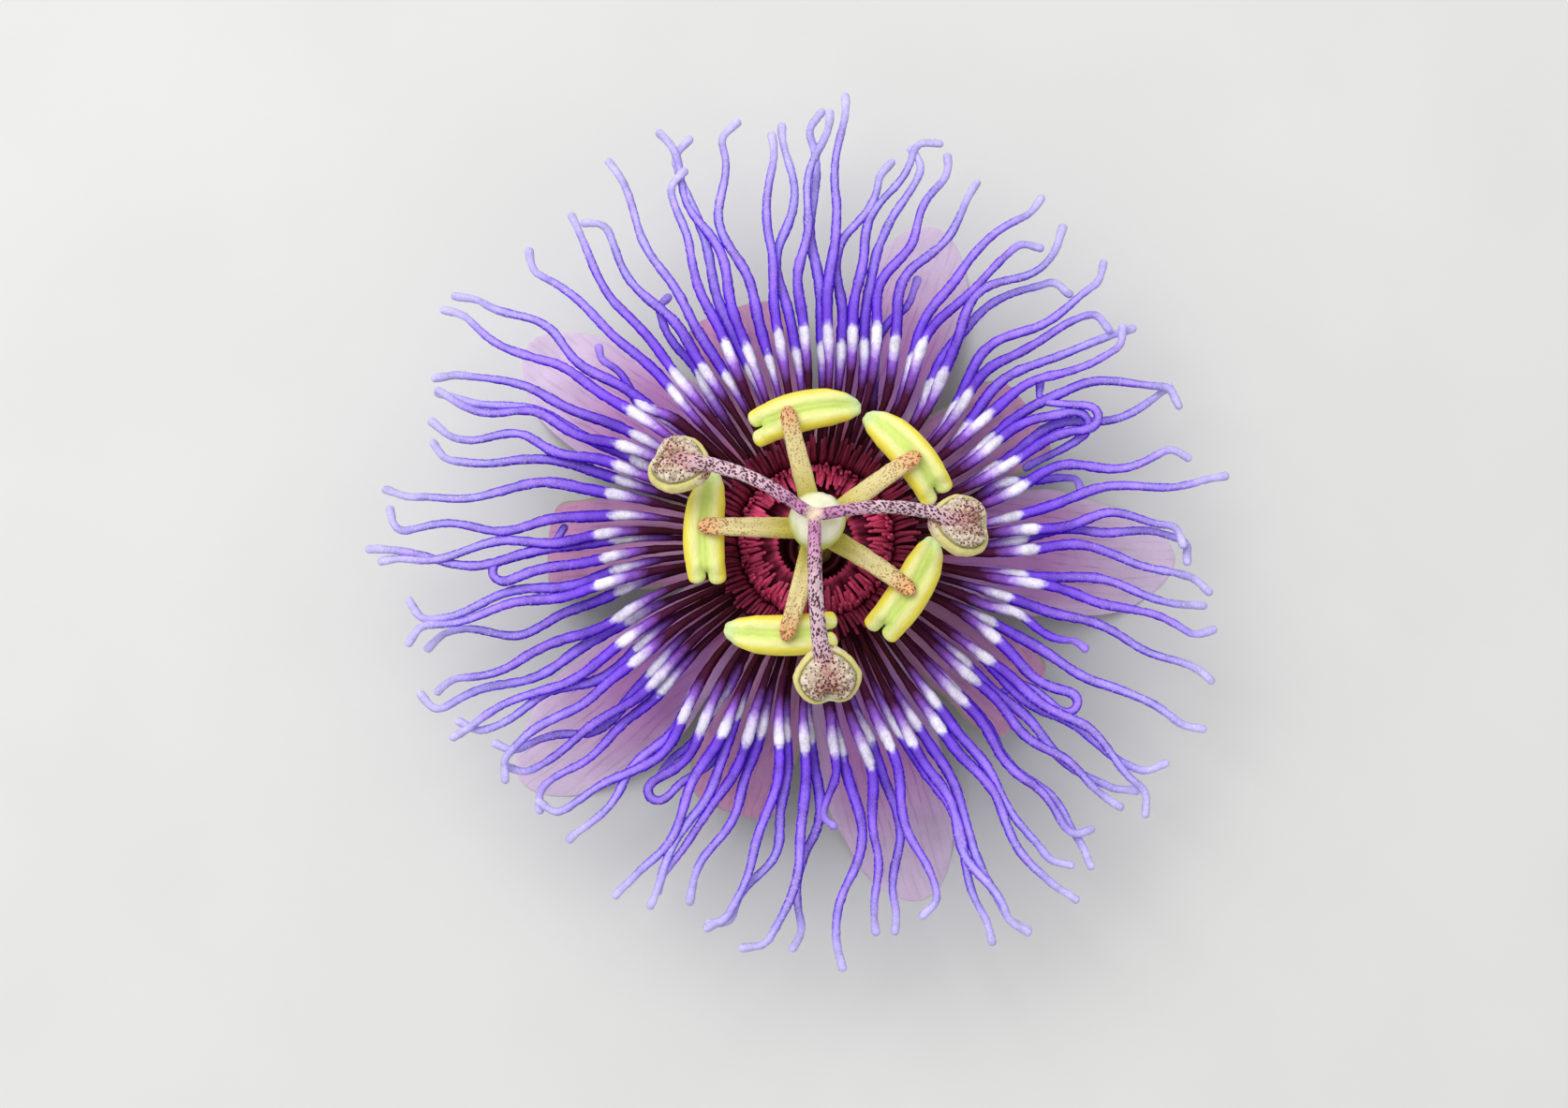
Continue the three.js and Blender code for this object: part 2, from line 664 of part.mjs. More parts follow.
// A stigma is a cushion with a heart-shaped outline, notched at its outer end.
function stigmaShape(breadth) {
  const geometry = new THREE.SphereGeometry(1, 14, 8).rotateX(Math.PI / 2);
  const position = geometry.attributes.position;
  for (let i = 0; i < position.count; i++) {
    const x = position.getX(i);
    const y = position.getY(i);
    const turn = Math.atan2(y, x);
    const notch = 1 - 0.2 * Math.exp(-((turn / 0.36) ** 2));
    const taper = x < 0 ? 1 + 0.28 * x : 1;
    position.setX(i, x * (x > 0 ? STIGMA_OUTER : STIGMA_INNER) * notch);
    position.setY(i, y * STIGMA_HALF_WIDTH * breadth * taper * notch);
    position.setZ(i, position.getZ(i) * STIGMA_HALF_DEPTH);
  }
  return geometry;
}

function pistilArms() {
  STYLES.forEach(({ bearing, reach, sway, breadth }, k) => {
    add(`style_${k + 1}`, style(radians(bearing), reach, sway), MATERIALS.style);
    const mesh = add(`stigma_${k + 1}`, stigmaShape(breadth), MATERIALS.stigma);
    mesh.position.copy(around(radians(bearing), reach, 0, STIGMA_Z));
    mesh.rotation.set(0, radians(STIGMA_TILT), radians(bearing), "ZYX");
  });
}

stalk();
bracts();
floralCup();
sepals();
petals();
corona();
innerCorona();
operculum();
column();
stamens();
ovary();
pistilArms();

// The origin is at the middle of the flower's plan, on the surface.
flower.updateMatrixWorld(true);
const middle = new THREE.Box3().setFromObject(flower, true).getCenter(new THREE.Vector3());
flower.position.set(-middle.x, -middle.y, 0);

export default flower;
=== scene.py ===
"""Passion flower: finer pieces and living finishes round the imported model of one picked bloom.

Lengths in the code are millimetres about the flower's own axis, unless a name says otherwise. Properties
that a user changes are in Blender's units, and put() writes every mesh in metres.
"""

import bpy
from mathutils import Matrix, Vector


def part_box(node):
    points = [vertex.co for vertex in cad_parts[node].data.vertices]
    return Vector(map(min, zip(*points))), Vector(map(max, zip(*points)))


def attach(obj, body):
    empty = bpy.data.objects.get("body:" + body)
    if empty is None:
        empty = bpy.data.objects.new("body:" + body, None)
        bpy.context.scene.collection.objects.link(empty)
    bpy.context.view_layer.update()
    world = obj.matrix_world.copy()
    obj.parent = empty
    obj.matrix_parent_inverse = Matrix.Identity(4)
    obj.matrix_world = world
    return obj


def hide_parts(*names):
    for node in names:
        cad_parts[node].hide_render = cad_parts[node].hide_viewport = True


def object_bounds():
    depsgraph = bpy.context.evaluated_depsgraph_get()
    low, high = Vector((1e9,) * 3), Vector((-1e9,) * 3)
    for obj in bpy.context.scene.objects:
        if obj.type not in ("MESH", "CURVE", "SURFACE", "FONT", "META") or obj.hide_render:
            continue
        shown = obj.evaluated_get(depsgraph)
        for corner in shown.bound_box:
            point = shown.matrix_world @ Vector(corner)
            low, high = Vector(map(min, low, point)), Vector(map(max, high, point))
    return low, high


bl_info = {
    "name": "Passion flower",
    "version": (1, 0, 0),
    "blender": (4, 5, 0),
    "location": "View3D > Sidebar > Flower",
    "description": "Builds the fringe, petals, stamens and pistil of one picked passion flower",
    "category": "Add Mesh",
}

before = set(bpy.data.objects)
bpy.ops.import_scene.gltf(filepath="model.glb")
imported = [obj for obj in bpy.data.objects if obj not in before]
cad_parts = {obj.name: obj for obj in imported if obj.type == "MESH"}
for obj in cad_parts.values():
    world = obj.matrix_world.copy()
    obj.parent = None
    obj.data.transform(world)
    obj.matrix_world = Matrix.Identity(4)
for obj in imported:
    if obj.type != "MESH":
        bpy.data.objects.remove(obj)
CAD_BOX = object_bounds()

import math

import bmesh
import bpy
import numpy as np
from bpy.props import FloatProperty, FloatVectorProperty, PointerProperty
from mathutils import Matrix, Vector
from mathutils.noise import noise as lump_at

BODY = "root"
MM = 0.001
TAU = 2 * math.pi
OVARY_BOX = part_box("ovary")
AXIS = np.array([(OVARY_BOX[0].x + OVARY_BOX[1].x) / 2, (OVARY_BOX[0].y + OVARY_BOX[1].y) / 2, 0]) / MM

# ---- The flower's plan, as in the model ----
WHORL = 5  # petals, sepals and stamens
SEPAL_BEARING = 35  # degrees anticlockwise from +X
STEP_BEARING = 360 / WHORL
CUP_RADIUS = 11
CUP_RIM_Z = 18.4
CUP_BASE_Z = 9
CUP_FLOOR_Z = 13
CUP_LEDGE_Z = 15.9  # step inside the cup that carries the collar
STALK_RADIUS = 1.6
STALK_CUT_Z = 1  # the nipped end hangs just clear of the floor
BRACT_COUNT = 3
BRACT_Z = 7.2
PETAL_HALF_WIDTH = 8
SEPAL_HALF_WIDTH = 6.2
CORONA_INNER = 10.4  # ring that the long filaments grow from
CORONA_OUTER = 12.4
CORONA_BASE_Z = 18.7
CORONA_TOP_Z = 21.2
PER_SERIES = 48  # long filaments in the upper series, and as many in the lower
COLUMN_TOP_Z = 32.4
STAMEN_Z = 31.4  # height at which the stamens leave the column
STAMEN_REACH = 14
STAMEN_TIP_Z = 34.1
ANTHER_LENGTH = 13.6
ANTHER_DEPTH = 3
ANTHER_BOW = 0.7  # how far an anther's middle bows outwards
ANTHER_INSET = 1.2  # from the strap's tip in to the anther's middle
OVARY_BASE_Z = 32.7
OVARY_RADIUS = 3.4
OVARY_TOP_Z = 41.8
KNOB_RADIUS = 1.15  # where the three styles meet on the ovary
KNOB_TOP_Z = 43.6
KNOB_SHIFT = -0.4  # the knob stands a little off the axis, along X
STYLE_Z = 42.9
STIGMA_Z = 38.6
STIGMA_OUTER = 4  # from the stigma's middle to its outer end
STIGMA_INNER = 3.7  # and to where its style joins
STIGMA_HALF_WIDTH = 3.8
STIGMA_TILT = 22  # degrees that a stigma tips down outwards


# ---- Small mathematics ----
def smooth(x, low, high):
    """0 up to low, 1 from high, and a soft step between them."""
    share = np.clip((x - low) / (high - low), 0, 1)
    return share * share * (3 - 2 * share)


def mix(first, second, share):
    """The value at a share of the way from the first to the second."""
    return first + (second - first) * share


def draws_from(seed):
    """Draws from 0 to 1, the same as the model's for the same seed."""
    state = seed
    while True:
        state = (state * 1664525 + 1013904223) % 2**32
        yield state / 2**32


def stray(draw, span):
    """A draw that strays from 0 by up to half the span."""
    return span * (next(draw) - 0.5)


def even_turns(count):
    """Angles spread evenly over a full turn."""
    return TAU * np.arange(count) / count


def around(bearing, distance, sideways, height):
    """Points at a distance and bearing from the axis, moved sideways, at a height."""
    cos, sin = np.cos(bearing), np.sin(bearing)
    x = distance * cos - sideways * sin
    y = distance * sin + sideways * cos
    return np.stack(np.broadcast_arrays(x, y, height), axis=-1)


def bezier(corners, share):
    """Points of a cubic curve at an array of shares."""
    share = np.asarray(share)[:, None]
    a, b, c, d = (np.asarray(corner, float) for corner in corners)
    return (
        (1 - share) ** 3 * a
        + 3 * (1 - share) ** 2 * share * b
        + 3 * (1 - share) * share**2 * c
        + share**3 * d
    )


def rounded(points, count):
    """A smooth line of count points through a few corner points."""
    points = np.asarray(points, float)
    lengths = np.concatenate([[0], np.cumsum(np.linalg.norm(np.diff(points, axis=0), axis=1))])
    even = np.linspace(0, lengths[-1], count)
    line = np.stack([np.interp(even, lengths, points[:, axis]) for axis in range(points.shape[1])], axis=-1)
    passes = max(count // 14, 1)
    for _ in range(passes):
        line[1:-1] = (line[:-2] + 2 * line[1:-1] + line[2:]) / 4
    return line


def soft_noise(random, count, knots):
    """Smooth values from -1 to 1 along a line."""
    values = random.uniform(-1, 1, knots + 1)
    place = np.linspace(0, knots - 1e-6, count)
    index = place.astype(int)
    return mix(values[index], values[index + 1], smooth(place - index, 0, 1))


# ---- Settings that a user would change ----
def linear(value):
    """The share of light that an 8-bit value on screen stands for."""
    share = value / 255
    return share / 12.92 if value <= 10 else ((share + 0.055) / 1.055) ** 2.4


def colour(name, red, green, blue):
    """A colour property from its 8-bit values on screen."""
    return FloatVectorProperty(
        name=name,
        description=f"Colour that the finish takes for: {name.lower()}",
        subtype="COLOR",
        size=3,
        min=0,
        max=1,
        default=[linear(value) for value in (red, green, blue)],
    )


def length(name, millimetres, description):
    """A length property from millimetres."""
    return FloatProperty(name=name, description=description, default=millimetres * MM, min=0, unit="LENGTH")


class FringeSettings(bpy.types.PropertyGroup):
    """Sizes and colours of the long fringe and of the crimson crown inside it"""

    root_width: length("Root width", 0.74, "Width of a long filament at its root")
    band_width: length("Width past the band", 1.4, "Width of a long filament just past the white band")
    tip_width: length("Tip width", 0.94, "Width of a long filament at its tip")
    band_radius: length("White band radius", 26.2, "Distance from the axis to the middle of the white band")
    lumps: FloatProperty(
        name="Lumps",
        description="Share by which a filament's width varies",
        default=0.08,
        min=0,
    )
    root: colour("Root", 54, 5, 24)
    mauve: colour("Above the root", 70, 14, 56)
    inner: colour("Inside the band", 122, 66, 196)
    lilac: colour("Band's inner edge", 198, 178, 236)
    band: colour("White band", 234, 230, 245)
    deep: colour("Past the band", 84, 30, 214)
    violet: colour("Middle", 100, 54, 228)
    pale: colour("Outer part", 112, 82, 232)
    tip: colour("Tip", 154, 140, 241)
    blush: colour("Patches on the arm", 138, 84, 226)
    # Painted highlight along the arm's crest
    crest_highlight: colour("Crest of the arm", 184, 154, 247)
    # Pale colour of the tips, which the painted highlight and the grains also take towards them
    pale_tip_and_highlight: colour("Crest of the tip", 218, 212, 248)
    crimson: colour("Inner threads", 238, 88, 136)
    # Dark feet of the inner threads, and their painted shade and the collar's; the rings and the inside of
    # the cup take it too
    crimson_dark: colour("Inner threads' feet", 84, 16, 36)


class TepalSettings(bpy.types.PropertyGroup):
    """Thickness and colours of petals, sepals, cup, stalk and bracts"""

    thickness: length("Thickness", 0.55, "Thickness of a petal or sepal")
    petal_foot: colour("Petal foot", 186, 92, 130)
    petal_root: colour("Petal root", 194, 130, 190)
    petal_tip: colour("Petal tip", 224, 202, 226)
    petal_vein: colour("Petal veins", 148, 92, 156)
    sepal_inside: colour("Sepal inside", 208, 146, 184)
    sepal_green: colour("Sepal edge and back", 140, 160, 84)
    green: colour("Cup and stalk", 122, 152, 66)
    green_pale: colour("Cup ribs", 168, 186, 104)


class StamenSettings(bpy.types.PropertyGroup):
    """Colours of the column, the straps and the anthers"""

    strap: colour("Strap", 206, 192, 90)
    strap_middle: colour("Strap middle", 226, 210, 148)
    strap_tip: colour("Strap tip", 232, 178, 120)
    strap_speck: colour("Strap specks", 184, 142, 92)
    strap_tip_speck: colour("Strap tip's specks", 158, 80, 40)
    anther_stripe: colour("Anther stripe", 210, 230, 120)
    anther_lobe: colour("Anther lobes", 242, 243, 160)
    anther_flank: colour("Anther flanks", 247, 231, 82)
    anther_edge: colour("Anther underside", 246, 228, 136)
    anther_nib: colour("Anther's closed tip", 218, 236, 164)


class PistilSettings(bpy.types.PropertyGroup):
    """Colours of the ovary, the styles and the stigmas"""

    ovary: colour("Ovary", 208, 218, 108)
    # Painted highlight on the ovary's crown
    ovary_top_highlight: colour("Ovary crown", 254, 252, 224)
    joint: colour("Styles' joint", 238, 212, 186)
    style_root: colour("Style near the joint", 198, 134, 174)
    style: colour("Style", 222, 190, 200)
    dash_root: colour("Dashes near the joint", 116, 58, 102)
    dash: colour("Dashes", 84, 38, 58)
    stigma: colour("Stigma", 228, 214, 192)
    stigma_middle: colour("Stigma middle", 198, 148, 140)
    stigma_speck: colour("Stigma specks", 116, 60, 56)
    # Painted shade in the cushion's furrows
    stigma_pit: colour("Stigma's furrows", 120, 102, 52)
    stigma_rim: colour("Stigma rim", 228, 216, 142)
    # Painted shade in the groove inside the rim
    stigma_groove: colour("Stigma groove", 132, 128, 54)
    stigma_notch: colour("Stigma notch", 222, 228, 184)


FLOOR_PER_FLOWER = 20  # widths of the flower across the floor


class StageSettings(bpy.types.PropertyGroup):
    """Floor, lights and camera"""

    floor_size: FloatProperty(
        name="Floor size",
        description="Width of the pale floor",
        default=FLOOR_PER_FLOWER * (CAD_BOX[1].x - CAD_BOX[0].x),
        min=0,
        unit="LENGTH",
    )
    floor: colour("Floor", 226, 226, 222)
    distance: FloatProperty(
        name="Camera distance",
        description="From the fringe to the camera",
        default=0.5,
        min=0.1,
        unit="LENGTH",
    )
    elevation: FloatProperty(
        name="Camera elevation",
        description="Above the horizon",
        default=math.radians(82),
        unit="ROTATION",
    )
    lens: FloatProperty(
        name="Lens",
        description="Focal length",
        default=93.8,
        min=10,
        subtype="DISTANCE_CAMERA",
    )
    key_power: FloatProperty(name="Key light", description="Its power", default=4.7, min=0, subtype="POWER")
    fill: FloatProperty(name="Fill light", description="Brightness of the sky", default=0.6, min=0)


# ---- Meshes ----
class Shell:
    """Points, faces and values at the points, gathered from one or more surfaces."""

    def __init__(self, points=(), faces=(), **values):
        self.points = []
        self.faces = []
        self.values = {}
        self.count = 0
        if len(points):
            self.add(points, faces, **values)

    def add(self, points, faces, **values):
        """Adds a surface. Each value is one for all its points, or has one for each."""
        points = np.asarray(points, float).reshape(-1, 3)
        self.points.append(points)
        self.faces.extend([tuple(int(i) + self.count for i in face) for face in faces])
        self.count += len(points)
        for name, value in values.items():
            value = np.asarray(value, float)
            shape = (len(points),) + value.shape[1:] if value.ndim else (len(points),)
            self.values.setdefault(name, []).append(np.broadcast_to(value, shape))

    def all_points(self):
        """The points of all the surfaces, in one array."""
        return np.concatenate(self.points)


def face_outwards(mesh):
    """Turns all the faces of a closed mesh outwards."""
    work = bmesh.new()
    work.from_mesh(mesh)
    bmesh.ops.recalc_face_normals(work, faces=work.faces)
    work.to_mesh(mesh)
    work.free()


def mesh_of(name, shell):
    """A smooth-shaded mesh in metres. Values of three numbers are vectors, and others are single numbers."""
    mesh = bpy.data.meshes.new(name)
    placed = (shell.all_points() + AXIS) * MM
    mesh.from_pydata(placed.tolist(), [], shell.faces)
    for key, parts in shell.values.items():
        value = np.concatenate(parts)
        kind = "FLOAT_VECTOR" if value.ndim == 2 else "FLOAT"
        attribute = mesh.attributes.new(key, kind, "POINT")
        attribute.data.foreach_set("vector" if value.ndim == 2 else "value", value.astype(np.float32).ravel())
    face_outwards(mesh)
    mesh.polygons.foreach_set("use_smooth", [True] * len(mesh.polygons))
    return mesh


def put(name, shell, material, slot, *nodes):
    """A piece that rides on the body and stands for the named nodes."""
    piece = bpy.data.objects.new(name, mesh_of(name, shell))
    bpy.context.scene.collection.objects.link(piece)
    piece.data.materials.append(material)
    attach(piece, BODY)
    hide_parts(*nodes)
    return piece


def put_each(name, shells, material, slot, node_name):
    """A piece for each shell, numbered from 1 in its own name and in that of its node."""
    for number, shell in enumerate(shells, 1):
        put(name.format(number), shell, material, slot, node_name.format(number))


def ring_faces(rings, sides, closed=False):
    """Four-sided faces between rings of points, each with the same number of sides."""
    faces = []
    for ring in range(rings if closed else rings - 1):
        here, there = ring * sides, ((ring + 1) % rings) * sides
        for side in range(sides):
            after = (side + 1) % sides
            faces.append((here + side, here + after, there + after, there + side))
    return faces


def end_faces(rings, sides):
    """The two faces that close the first and the last ring."""
    last = (rings - 1) * sides
    return [tuple(range(sides)), tuple(range(last, last + sides))]


CAP_TURNS = np.radians([22, 44, 64, 80])  # rings that round off the end of a tube


def tube(path, half_width, half_height, sides, bumps=None, caps=(True, True)):
    """A tube with round ends along a path. Returns its points, faces and skin: how far along, and
    where on the section. bumps multiplies the size, one number for each ring and side."""
    path = np.asarray(path, float)
    along = np.gradient(path, axis=0)
    along /= np.linalg.norm(along, axis=1)[:, None]
    across = np.cross([0.0, 0.0, 1.0], along)
    across /= np.linalg.norm(across, axis=1)[:, None]
    above = np.cross(along, across)
    half_width = np.broadcast_to(half_width, len(path)).astype(float)
    half_height = np.broadcast_to(half_height, len(path)).astype(float)
    walked = np.concatenate([[0], np.cumsum(np.linalg.norm(np.diff(path, axis=0), axis=1))])
    order = np.arange(len(path))
    shift = np.zeros(len(path))
    scale = np.ones(len(path))
    if caps[1]:
        order = np.concatenate([order, np.full(len(CAP_TURNS), len(path) - 1)])
        shift = np.concatenate([shift, half_height[-1] * np.sin(CAP_TURNS)])
        scale = np.concatenate([scale, np.cos(CAP_TURNS)])
    if caps[0]:
        order = np.concatenate([np.zeros(len(CAP_TURNS), int), order])
        shift = np.concatenate([-half_height[0] * np.sin(CAP_TURNS[::-1]), shift])
        scale = np.concatenate([np.cos(CAP_TURNS[::-1]), scale])
    centre = path[order] + along[order] * shift[:, None]
    turn = even_turns(sides)
    size = scale[:, None] * (np.ones((len(order), sides)) if bumps is None else bumps[order])
    wide = size * half_width[order][:, None] * np.cos(turn)
    high = size * half_height[order][:, None] * np.sin(turn)
    sideways = wide[..., None] * across[order][:, None]
    upwards = high[..., None] * above[order][:, None]
    points = centre[:, None] + sideways + upwards
    far = np.broadcast_to((walked[order] + shift)[:, None], wide.shape)
    skin = np.stack([far, wide, high], axis=-1)
    faces = ring_faces(len(order), sides) + end_faces(len(order), sides)
    return points.reshape(-1, 3), faces, skin.reshape(-1, 3)


AXIS_GAP = 0.02  # millimetres from the axis at which a profile ends, so that its end faces have an area


def axis_to_axis(corners, count):
    """A smooth profile for lathe() that starts and ends just off the axis."""
    profile = rounded(corners, count)
    profile[[0, -1], 0] = AXIS_GAP
    return profile


def lathe(profile, segments, relief=None):
    """A closed surface about the axis from a profile of radii and heights that starts and ends at the
    axis, or comes back to its start. relief(turn, radius, height) moves the points."""
    profile = np.asarray(profile, float)
    turn = even_turns(segments)
    radius = np.repeat(profile[:, :1], segments, axis=1)
    height = np.repeat(profile[:, 1:], segments, axis=1)
    if relief is not None:
        radius, height = relief(turn[None, :], radius, height)
    points = np.stack([radius * np.cos(turn), radius * np.sin(turn), height], axis=-1)
    is_ring = np.allclose(profile[0], profile[-1])
    if is_ring:
        points = points[:-1]
    faces = ring_faces(len(points), segments, closed=is_ring)
    if not is_ring:
        faces += end_faces(len(points), segments)
    return points.reshape(-1, 3), faces


def blade(places):
    """A thin closed blade. places holds its upper and lower points, row by row."""
    row_count, column_count = places.shape[1:3]
    size = row_count * column_count
    faces = []
    for i in range(row_count - 1):
        for j in range(column_count - 1):
            a = i * column_count + j
            b = a + column_count
            faces.append((a, b, b + 1, a + 1))
            faces.append((a + size, a + 1 + size, b + 1 + size, b + size))
    rim = list(range(column_count))
    rim += [i * column_count + column_count - 1 for i in range(1, row_count)]
    rim += [(row_count - 1) * column_count + j for j in range(column_count - 2, -1, -1)]
    rim += [i * column_count for i in range(row_count - 2, 0, -1)]
    for here, there in zip(rim, rim[1:] + rim[:1]):
        faces.append((here, there, there + size, here + size))
    return places.reshape(-1, 3), faces


def remeshed(name, shell, voxel, smoothing):
    """The points and faces of one clean skin round overlapping surfaces, in millimetres."""
    mesh = bpy.data.meshes.new(name)
    mesh.from_pydata(shell.all_points().tolist(), [], shell.faces)
    face_outwards(mesh)
    form = bpy.data.objects.new(name, mesh)
    bpy.context.scene.collection.objects.link(form)
    joined = form.modifiers.new("Joined", "REMESH")
    joined.mode = "VOXEL"
    joined.voxel_size = voxel
    softened = form.modifiers.new("Softened", "SMOOTH")
    softened.factor = 0.5
    softened.iterations = smoothing
    bpy.context.view_layer.update()
    made = form.evaluated_get(bpy.context.evaluated_depsgraph_get()).to_mesh()
    points = np.zeros(len(made.vertices) * 3)
    made.vertices.foreach_get("co", points)
    faces = [tuple(face.vertices) for face in made.polygons]
    bpy.data.objects.remove(form)
    bpy.data.meshes.remove(mesh)
    return points.reshape(-1, 3), faces


# ---- Shader nodes ----
def node(tree, kind, inputs=None, **settings):
    """One node with its settings and inputs. An input is a value, or a socket to link from."""
    made = tree.nodes.new("ShaderNode" + kind)
    for key, value in settings.items():
        setattr(made, key, value)
    for key, value in (inputs or {}).items():
        if isinstance(value, bpy.types.NodeSocket):
            tree.links.new(value, made.inputs[key])
        else:
            made.inputs[key].default_value = value
    return made


def opaque(rgb):
    """A colour of four numbers from one of three."""
    return (*rgb, 1.0)


def mixed(tree, share, first, second):
    """The socket of two colours mixed by a share. Each is a socket, or a colour of three numbers."""
    first, second = (c if isinstance(c, bpy.types.NodeSocket) else opaque(c) for c in (first, second))
    return node(tree, "Mix", {0: share, 6: first, 7: second}, data_type="RGBA").outputs[2]


def maths(tree, operation, first, second=0.0):
    """The socket of a sum, product or the like."""
    return node(tree, "Math", {0: first, 1: second}, operation=operation).outputs[0]


def mapped(tree, value, low, high, to_low=0.0, to_high=1.0, kind="SMOOTHSTEP"):
    """The socket of a value carried from one range to another, and held at its ends."""
    inputs = {"Value": value, "From Min": low, "From Max": high, "To Min": to_low, "To Max": to_high}
    return node(tree, "MapRange", inputs, interpolation_type=kind).outputs["Result"]


def noise(tree, vector, scale, detail=2.0):
    """The socket of a cloudy value from 0 to 1."""
    return node(tree, "TexNoise", {"Vector": vector, "Scale": scale, "Detail": detail}).outputs["Fac"]


def unevenness(tree, vector, scale, swing):
    """The socket of a cloudy value that strays from 0 by up to half the swing."""
    return maths(tree, "MULTIPLY", maths(tree, "SUBTRACT", noise(tree, vector, scale), 0.5), swing)


def stretched(tree, vector, scale):
    """The socket of a vector with each of its numbers multiplied."""
    return node(tree, "VectorMath", {0: vector, 1: scale}, operation="MULTIPLY").outputs[0]


def ramp(tree, value, stops):
    """Colours along a value from 0 to 1. stops are (place, colour) pairs in order."""
    made = node(tree, "ValToRGB", {"Fac": value})
    elements = made.color_ramp.elements
    for element, (place, rgb) in zip((elements[0], elements[-1]), (stops[0], stops[-1])):
        element.position = place
        element.color = opaque(rgb)
    for place, rgb in stops[1:-1]:
        elements.new(place).color = opaque(rgb)
    return made.outputs["Color"]


def attribute(tree, name):
    """The socket of a number that the mesh holds at its points."""
    return node(tree, "Attribute", attribute_name=name).outputs["Fac"]


def skin_of(tree):
    """The socket of the place on a piece's own skin, in millimetres, that its textures go by."""
    return node(tree, "Attribute", attribute_name="skin").outputs["Vector"]


def group_of(name, inputs, outputs):
    """A new node group with its sockets. Returns the tree, its input node and its output node."""
    tree = bpy.data.node_groups.new(name, "ShaderNodeTree")
    for socket_name, kind, default in inputs:
        made = tree.interface.new_socket(socket_name, in_out="INPUT", socket_type="NodeSocket" + kind)
        made.default_value = default
    for socket_name, kind in outputs:
        tree.interface.new_socket(socket_name, in_out="OUTPUT", socket_type="NodeSocket" + kind)
    return tree, tree.nodes.new("NodeGroupInput"), tree.nodes.new("NodeGroupOutput")


def tissue_group():
    """Living tissue: cloudy colour at two scales, and the fine relief of its cells."""
    tree, given, made = group_of(
        "Tissue",
        [
            ("Color", "Color", (0.5, 0.5, 0.5, 1)),
            ("Skin", "Vector", (0, 0, 0)),
            ("Clouds", "Float", 0.2),
            ("Cloud Scale", "Float", 0.3),
            ("Cell Scale", "Float", 4.0),
        ],
        [("Color", "Color"), ("Height", "Float")],
    )
    skin = given.outputs["Skin"]
    clouds = noise(tree, skin, given.outputs["Cloud Scale"], 3.0)
    cells = noise(tree, skin, given.outputs["Cell Scale"], 2.0)
    swing = maths(tree, "ADD", maths(tree, "MULTIPLY", clouds, 0.65), maths(tree, "MULTIPLY", cells, 0.35))
    depth = maths(tree, "MULTIPLY", given.outputs["Clouds"], 4.0)
    lightness = maths(tree, "MULTIPLY", maths(tree, "SUBTRACT", swing, 0.5), depth)
    value = maths(tree, "ADD", lightness, 1.0)
    varied = node(tree, "HueSaturation", {"Value": value, "Color": given.outputs["Color"]})
    tree.links.new(varied.outputs["Color"], made.inputs["Color"])
    tree.links.new(swing, made.inputs["Height"])
    return tree


def specks_group():
    """Specks, dashes or grains on a ground colour, one to each small cell where the density allows it."""
    tree, given, made = group_of(
        "Specks",
        [
            ("Ground", "Color", (0.8, 0.8, 0.8, 1)),
            ("Speck", "Color", (0.1, 0.05, 0.05, 1)),
            ("Skin", "Vector", (0, 0, 0)),
            ("Scale", "Float", 2.0),
            ("Size", "Float", 0.3),
            ("Density", "Float", 0.6),
        ],
        [("Color", "Color"), ("Mask", "Float")],
    )
    bent = noise(tree, given.outputs["Skin"], 1.7, 2.0)
    cells = node(
        tree,
        "TexVoronoi",
        {"Vector": given.outputs["Skin"], "Scale": given.outputs["Scale"], "Randomness": 1.0},
    )
    chosen = node(tree, "SeparateColor", {"Color": cells.outputs["Color"]}).outputs[0]
    allowed = maths(tree, "LESS_THAN", chosen, given.outputs["Density"])
    size = maths(tree, "MULTIPLY", given.outputs["Size"], mapped(tree, bent, 0.3, 0.7, 0.75, 1.2))
    inside = mapped(tree, maths(tree, "SUBTRACT", cells.outputs["Distance"], size), 0.05, -0.07)
    mask = maths(tree, "MULTIPLY", inside, allowed)
    tree.links.new(mixed(tree, mask, given.outputs["Ground"], given.outputs["Speck"]), made.inputs["Color"])
    tree.links.new(mask, made.inputs["Mask"])
    return tree


def veins_group():
    """Fine veins that run along a petal, sepal or bract, from its skin: along, across and through."""
    tree, given, made = group_of(
        "Veins",
        [("Skin", "Vector", (0, 0, 0)), ("Spacing", "Float", 1.0), ("Waver", "Float", 0.5)],
        [("Mask", "Float")],
    )
    skin = node(tree, "SeparateXYZ", {0: given.outputs["Skin"]})
    waver = noise(tree, stretched(tree, given.outputs["Skin"], (0.12, 0.5, 0)), 1.0, 2.0)
    across = maths(tree, "ADD", skin.outputs["Y"], maths(tree, "MULTIPLY", waver, given.outputs["Waver"]))
    turns = maths(tree, "DIVIDE", across, given.outputs["Spacing"])
    wave = maths(tree, "ABSOLUTE", maths(tree, "SUBTRACT", maths(tree, "FRACT", turns), 0.5))
    line = mapped(tree, wave, 0.0, 0.22, 1.0, 0.0)
    broken = noise(tree, stretched(tree, given.outputs["Skin"], (0.25, 2.2, 0)), 1.0, 2.0)
    mask = maths(tree, "MULTIPLY", line, mapped(tree, broken, 0.35, 0.62))
    tree.links.new(mask, made.inputs["Mask"])
    return tree


GROUPS = {"Tissue": tissue_group, "Specks": specks_group, "Veins": veins_group}


def placed_group(tree, name, inputs):
    """A shared node group in a material, built the first time that it is wanted."""
    group = bpy.data.node_groups.get(name) or GROUPS[name]()
    made = tree.nodes.new("ShaderNodeGroup")
    made.node_tree = group
    for key, value in inputs.items():
        if isinstance(value, bpy.types.NodeSocket):
            tree.links.new(value, made.inputs[key])
        else:
            made.inputs[key].default_value = opaque(value) if key in ("Color", "Ground", "Speck") else value
    return made.outputs


